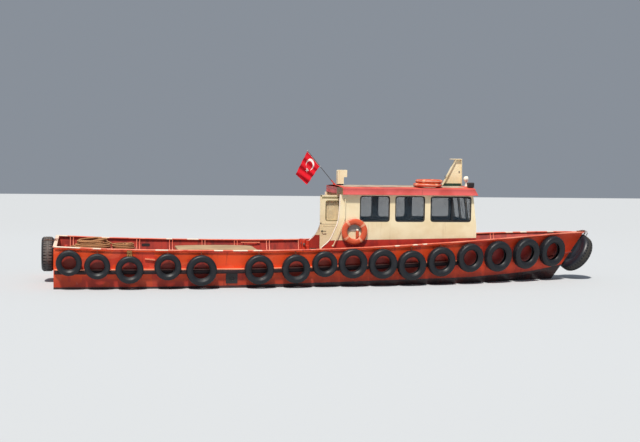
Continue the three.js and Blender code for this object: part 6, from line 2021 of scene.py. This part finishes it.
def make_engine(paint, metal, dark):
    """The engine with its rocker cover, flywheel case and manifold, inside the CAD block's size."""
    x0, x1, low, top = ENGINE.x0, ENGINE.x1, ENGINE.low, ENGINE.top
    shape = Shape(block(x0 + 0.12, x1 - 0.10, -0.20, 0.20, low + 0.16, top - 0.17, 0.02),
                  block(x0 + 0.16, x1 - 0.14, -0.11, 0.11, top - 0.18, top - 0.002, 0.03),
                  block(x0 + 0.08, x1 - 0.04, -0.14, 0.14, low + 0.04, low + 0.18, 0.02),
                  rod((x0, 0, 0.12), (x0 + 0.14, 0, 0.12), 0.22, 40, 0.01),
                  rod((x1 - 0.12, 0, 0.10), (x1, 0, 0.10), 0.14, 32, 0.01))
    shape.piece("engine", "engine_grey", paint, "engine_block")
    manifold = Shape()
    for x in np.linspace(x0 + 0.24, x1 - 0.24, 6):
        manifold.add(rod((x, -0.20, 0.30), (x, -0.285, 0.30), 0.032, 20, 0.004))
    manifold.add(rod((x0 + 0.2, -0.262, 0.30), (x1 - 0.2, -0.262, 0.30), 0.037, 24, 0.006))
    for s in (-1, 1):
        manifold.add(block(x0 + 0.05, x1 - 0.05, s * 0.29, s * 0.19, low, low + 0.06))
    manifold.piece("engine_manifold", "steel", metal)
    filters = [post(x, 0.245, 0.08, 0.30, 0.048, 28, 0.008) for x in (-3.6, -3.4, -3.1)]
    Shape(*filters).piece("engine_filters", "black_paint", dark)


# Inside the wheelhouse
CONSOLE = Sizes(x0=3.33, x1=3.93, half=0.95, top=1.56)
GAUGES = [(-0.54, 0.040), (-0.43, 0.040), (-0.32, 0.040), (-0.21, 0.040), (-0.135, 0.026)]
WHEEL = Sizes(x=3.2, y=-0.35, z=1.4, r=0.21, rim=0.014)
STOOL = Sizes(x=2.5, half=0.23, low=1.29, seat_top=1.39, back=0.08, top=1.85)


def make_console(shade_disc_paint, dark, glass, metal):
    c, x0, x1, top = CONSOLE, CONSOLE.x0, CONSOLE.x1, CONSOLE.top
    hood = rounded([(x0 + 0.15, top - 0.01), (x1 - 0.06, top - 0.01), (x1 - 0.06, top + 0.13),
                    (x0 + 0.21, top + 0.13)],
                   [0.002, 0.002, 0.03, 0.02], 4)
    desk = oblong(x0, x1, DECK_SEAT, top, [0.002, 0.002, 0.03, 0.045], 5)
    body = Shape(plate(desk, in_xz, -c.half, c.half), plate(hood, in_xz, -0.62, -0.08))
    body.piece("console_body", "console_grey", shade_disc_paint, "console")
    # Round gauges on the sloping face of the hood
    dials = Shape()
    a, b = arr((x0 + 0.155, 0, top)), arr((x0 + 0.205, 0, top + 0.118))
    face = arr((-(b - a)[2], 0, (b - a)[0]))
    face /= np.linalg.norm(face)
    for y, r in GAUGES:
        centre = lerp(a, b, 0.52) + (0, y, 0)
        dials.add(rod(centre - face * 0.004, centre + face * 0.008, r, 28, 0.002))
        dials.add(rod(centre + face * 0.006, centre + face * 0.0095, r * 0.84, 28, 0.0005), paint=1)
    for k in range(8):
        y = 0.05 + 0.09 * k
        dials.add(post(x0 + 0.12, y, top, top + 0.022, 0.006, 10, 0.002), paint=2)
        dials.add(block(x0 + 0.09, x0 + 0.15, y - 0.02, y + 0.02, top - 0.001, top + 0.003, 0.001))
    # Throttle levers
    dials.add(block(x0 + 0.06, x0 + 0.19, -0.03, 0.01, top - 0.001, top + 0.05, 0.008))
    knob = [(0.0005, -0.014), (0.011, -0.009), (0.014, 0), (0.011, 0.009), (0.0005, 0.014)]
    for y in (-0.022, 0.004):
        dials.add(tube([(x0 + 0.12, y, top + 0.045), (x0 + 0.09, y, top + 0.13)], 0.005, 10), paint=2)
        dials.add(lathe(knob, 20, (x0 + 0.088, y, top + 0.14)))
    dials.piece("console_dials", "black_paint", [dark, glass, metal], sharp=38)


def make_wheel(dark, metal):
    x, y, z, r = WHEEL.x, WHEEL.y, WHEEL.z, WHEEL.r
    shape = Shape(hoop(lambda p, q: (x, y + p, z + q), r, WHEEL.rim, 72, 16))
    shape.add(rod((x - 0.025, y, z), (CONSOLE.x0 - SEAT, y, z), 0.032, 32, 0.004), paint=1)
    hub = [(0.0005, -0.03), (0.035, -0.026), (0.044, -0.012), (0.044, 0.008), (0.0005, 0.01)]
    shape.add(lathe(hub, 32, (x, y, z), FORWARD))
    for a in around(3) + pi / 2:
        shape.add(rod((x, y, z), (x, y + r * cos(a), z + r * sin(a)), 0.008, 14), paint=1)
    shape.piece("helm_wheel", "black_paint", [dark, metal], "steering_wheel", sharp=40, body="wheel")


def cushion(x0, x1, y0, y1, z0, z1, puff=0.012, n=15):
    """A padded slab: a rounded box whose broad faces swell and dip at the two seams."""
    low, high = arr((x0, y0, z0)), arr((x1, y1, z1))
    half, centre = (high - low) / 2, (high + low) / 2
    r, thin = 0.42 * half.min(), int(np.argmin(half))
    verts, faces, index = [], [], {}

    def corner(*place):
        if place not in index:
            p = arr(place) / n * 2 - 1
            core = np.clip(p * half, -(half - r), half - r)
            way = p * half - core
            length = np.linalg.norm(way)
            q = core + way / length * min(r, length) if length > 1e-9 else p * half
            fade = np.prod([max(0.0, 1 - abs(p[a]) ** 4) for a in range(3) if a != thin])
            q[thin] += np.sign(p[thin]) * puff * 0.8 * (fade ** 0.5 - 1) * (abs(p[thin]) > 0.9)
            index[place] = len(verts)
            verts.append(q + centre)
        return index[place]

    for a in range(n):
        for b in range(n):
            for low in (0, n):
                for quad in (((low, a, b), (low, a + 1, b), (low, a + 1, b + 1), (low, a, b + 1)),
                             ((a, low, b), (a, low, b + 1), (a + 1, low, b + 1), (a + 1, low, b)),
                             ((a, b, low), (a + 1, b, low), (a + 1, b + 1, low), (a, b + 1, low))):
                    f = tuple(corner(*p) for p in quad)
                    faces.append(f if low else tuple(reversed(f)))
    return np.array(verts), faces


def make_seat(cover, metal):
    s = STOOL
    x0, x1, y0, y1 = s.x - s.half, s.x + s.half, WHEEL.y - s.half, WHEEL.y + s.half
    pads = Shape(cushion(x0 + 0.004, x1, y0, y1, s.low + 0.012, s.seat_top),
                 cushion(x0, x0 + s.back, y0, y1, s.seat_top + 0.004, s.top, 0.008))
    pads.piece("seat_pads", "vinyl", cover, "helm_seat", sharp=60)
    base = Shape(block(x0 + 0.01, x1 - 0.01, y0 + 0.01, y1 - 0.01, s.low + SEAT, s.low + 0.014))
    for y in (y0 + 0.05, y1 - 0.05):
        base.add(block(x0, x0 + 0.012, y - 0.02, y + 0.02, s.low + 0.002, s.seat_top + 0.12, 0.002))
    base.piece("seat_frame", "steel", metal)


# The materials, then every piece in turn
hull_paint = hull_material()
inside_paint = inside_material()
deck_paint = deck_material()
rail_paint = rail_material()
small_red = plain_red("ironwork_red", srgb(204, 62, 40))
# Pale orange-pink: the hull red as it looks in sunlight, a painted highlight; it paints the strakes' flats,
# the side bars and the grab bar
lit_flat_paint = plain_red("strake_flat_paint", srgb(236, 138, 104))
rubber = strake_material()
# Big tyres: tread tone, the dark tone of grooves (painted shade) and side faces, then the heights of the
# darkening towards the bottom
stern_rubber = big_tyre_material("stern_tyre_rubber", srgb(112, 104, 100), srgb(38, 36, 40), 0.80, 0.55)
bow_rubber = big_tyre_material("bow_tyre_rubber", srgb(126, 116, 90), srgb(20, 22, 28), 1.60, 1.25)
steel = metal_material("galvanised_steel", (132, 130, 126), 0.42, 0.5)
rusty = metal_material("rusty_chain", (104, 72, 62), 0.6, 1.0)
bronze = metal_material("bronze_metal", (158, 122, 70), 0.38, 0.1)
black = simple("black_coat", (34, 32, 34))
window_rubber = simple("window_rubber", (26, 26, 30), 0.55)
cream = cream_material("cream_paint", True)
plain_cream = cream_material("upper_cream_paint", False)
lining = lining_material()
# The lip's near white is a painted highlight of the wing's sunlit edge
lip_highlight_paint = simple("wing_lip_paint", (250, 236, 222), 0.45, 0.85)
green = simple("green_paint", (42, 66, 50))
white = simple("white_coat", (240, 236, 222), 0.45, 0.86)
lens = simple("lens_glass", (196, 204, 206), 0.08, 0.8)
orange = simple("buoy_shell", (208, 88, 52), 0.42, 0.84)
band = simple("buoy_band", (224, 152, 120), 0.6, 0.88)
# Grey of the half disc inside the side buoy: a painted shade on the cream wall
buoy_shade_grey = simple("buoy_shade_disc", (152, 146, 140), 0.6, 0.8)
olive = simple("olive_line", (134, 122, 78), 0.55, 0.8)
pole = simple("staff_coat", (72, 68, 66), 0.5, 0.8)
engine_paint = simple("engine_paint", (112, 120, 118), 0.5, 0.6)
vinyl = simple("seat_vinyl", (44, 38, 38), 0.42, 0.75, 0.3)
grey = simple("console_paint", (132, 130, 124), 0.55, 0.8)
canvas = cloth_material("canvas_cloth", (176, 148, 116), 420, 0.6)
curtain_cloth = cloth_material("curtain_cloth", (246, 228, 188), 500, 0.25)
flag_red = cloth_material("flag_red_cloth", (216, 28, 44), 900, 0.25)
flag_white = cloth_material("flag_white_cloth", (244, 240, 236), 900, 0.2)
side_glass = glass_material("side_glass", (0.016, 0.034, 0.054), 0.70)
leaf_glass = glass_material("leaf_glass", (0.40, 0.38, 0.32), 0.93)

set_camera()
set_light()
set_floor()
make_rope(fibre("rope_fibre", (188, 138, 98), 170))
make_hull(hull_paint)
make_deck(deck_paint)
for sign, side_name in SIDES:
    make_bulwark(sign, side_name, hull_paint, inside_paint, rail_paint)
make_rail(rail_paint)
for sign, side_name in SIDES:
    make_strake(sign, side_name, rubber, lit_flat_paint)
make_outlet(black, black)
make_side_bars(hull_paint, lit_flat_paint)
make_bulwark_gear(lit_flat_paint, black)
make_fenders(tyre_material(), rusty, hull_paint, fibre("old_rope", (158, 120, 72), 150))
make_stern_fender(stern_rubber, rusty)
make_bow_fender(bow_rubber, rusty)
make_rudder(hull_paint)
make_propeller(bronze)
for sign, side_name in SIDES:
    make_cabin_side(sign, side_name, cream, window_rubber, lining, lip_highlight_paint)
make_cabin_front(cream, window_rubber, lining)
make_bulkhead(cream, lining)
make_door(plain_cream, window_rubber, olive, curtain_cloth)
make_roof(fascia_material(), roof_top_material())
make_mast(plain_cream, green, steel)
make_searchlight(white, lens, steel)
make_horn_box(black, steel)
make_ventilator(plain_cream, black)
make_staff(pole, small_red)
make_flag(flag_red, flag_white)
make_handrails(plain_cream)
make_buoys(orange, band, white, steel, white, buoy_shade_grey)
make_bitts(small_red, steel)
make_hook(small_red, steel, black)
make_hatches(deck_paint, plain_cream, steel)
make_lid(deck_paint, canvas)
make_trunk(deck_paint, steel)
make_engine(engine_paint, steel, black)
make_console(grey, black, lens, steel)
make_wheel(black, steel)
make_seat(vinyl, steel)
for name, material in (("keel_skeg", hull_paint), ("propeller_shaft", steel), ("helm_seat_post", steel),
                       ("door_glass", leaf_glass), ("glass_port", side_glass),
                       ("glass_starboard", side_glass),
                       ("glass_front", side_glass)):
    bpy.data.objects[name].data.materials.clear()
    bpy.data.objects[name].data.materials.append(material)
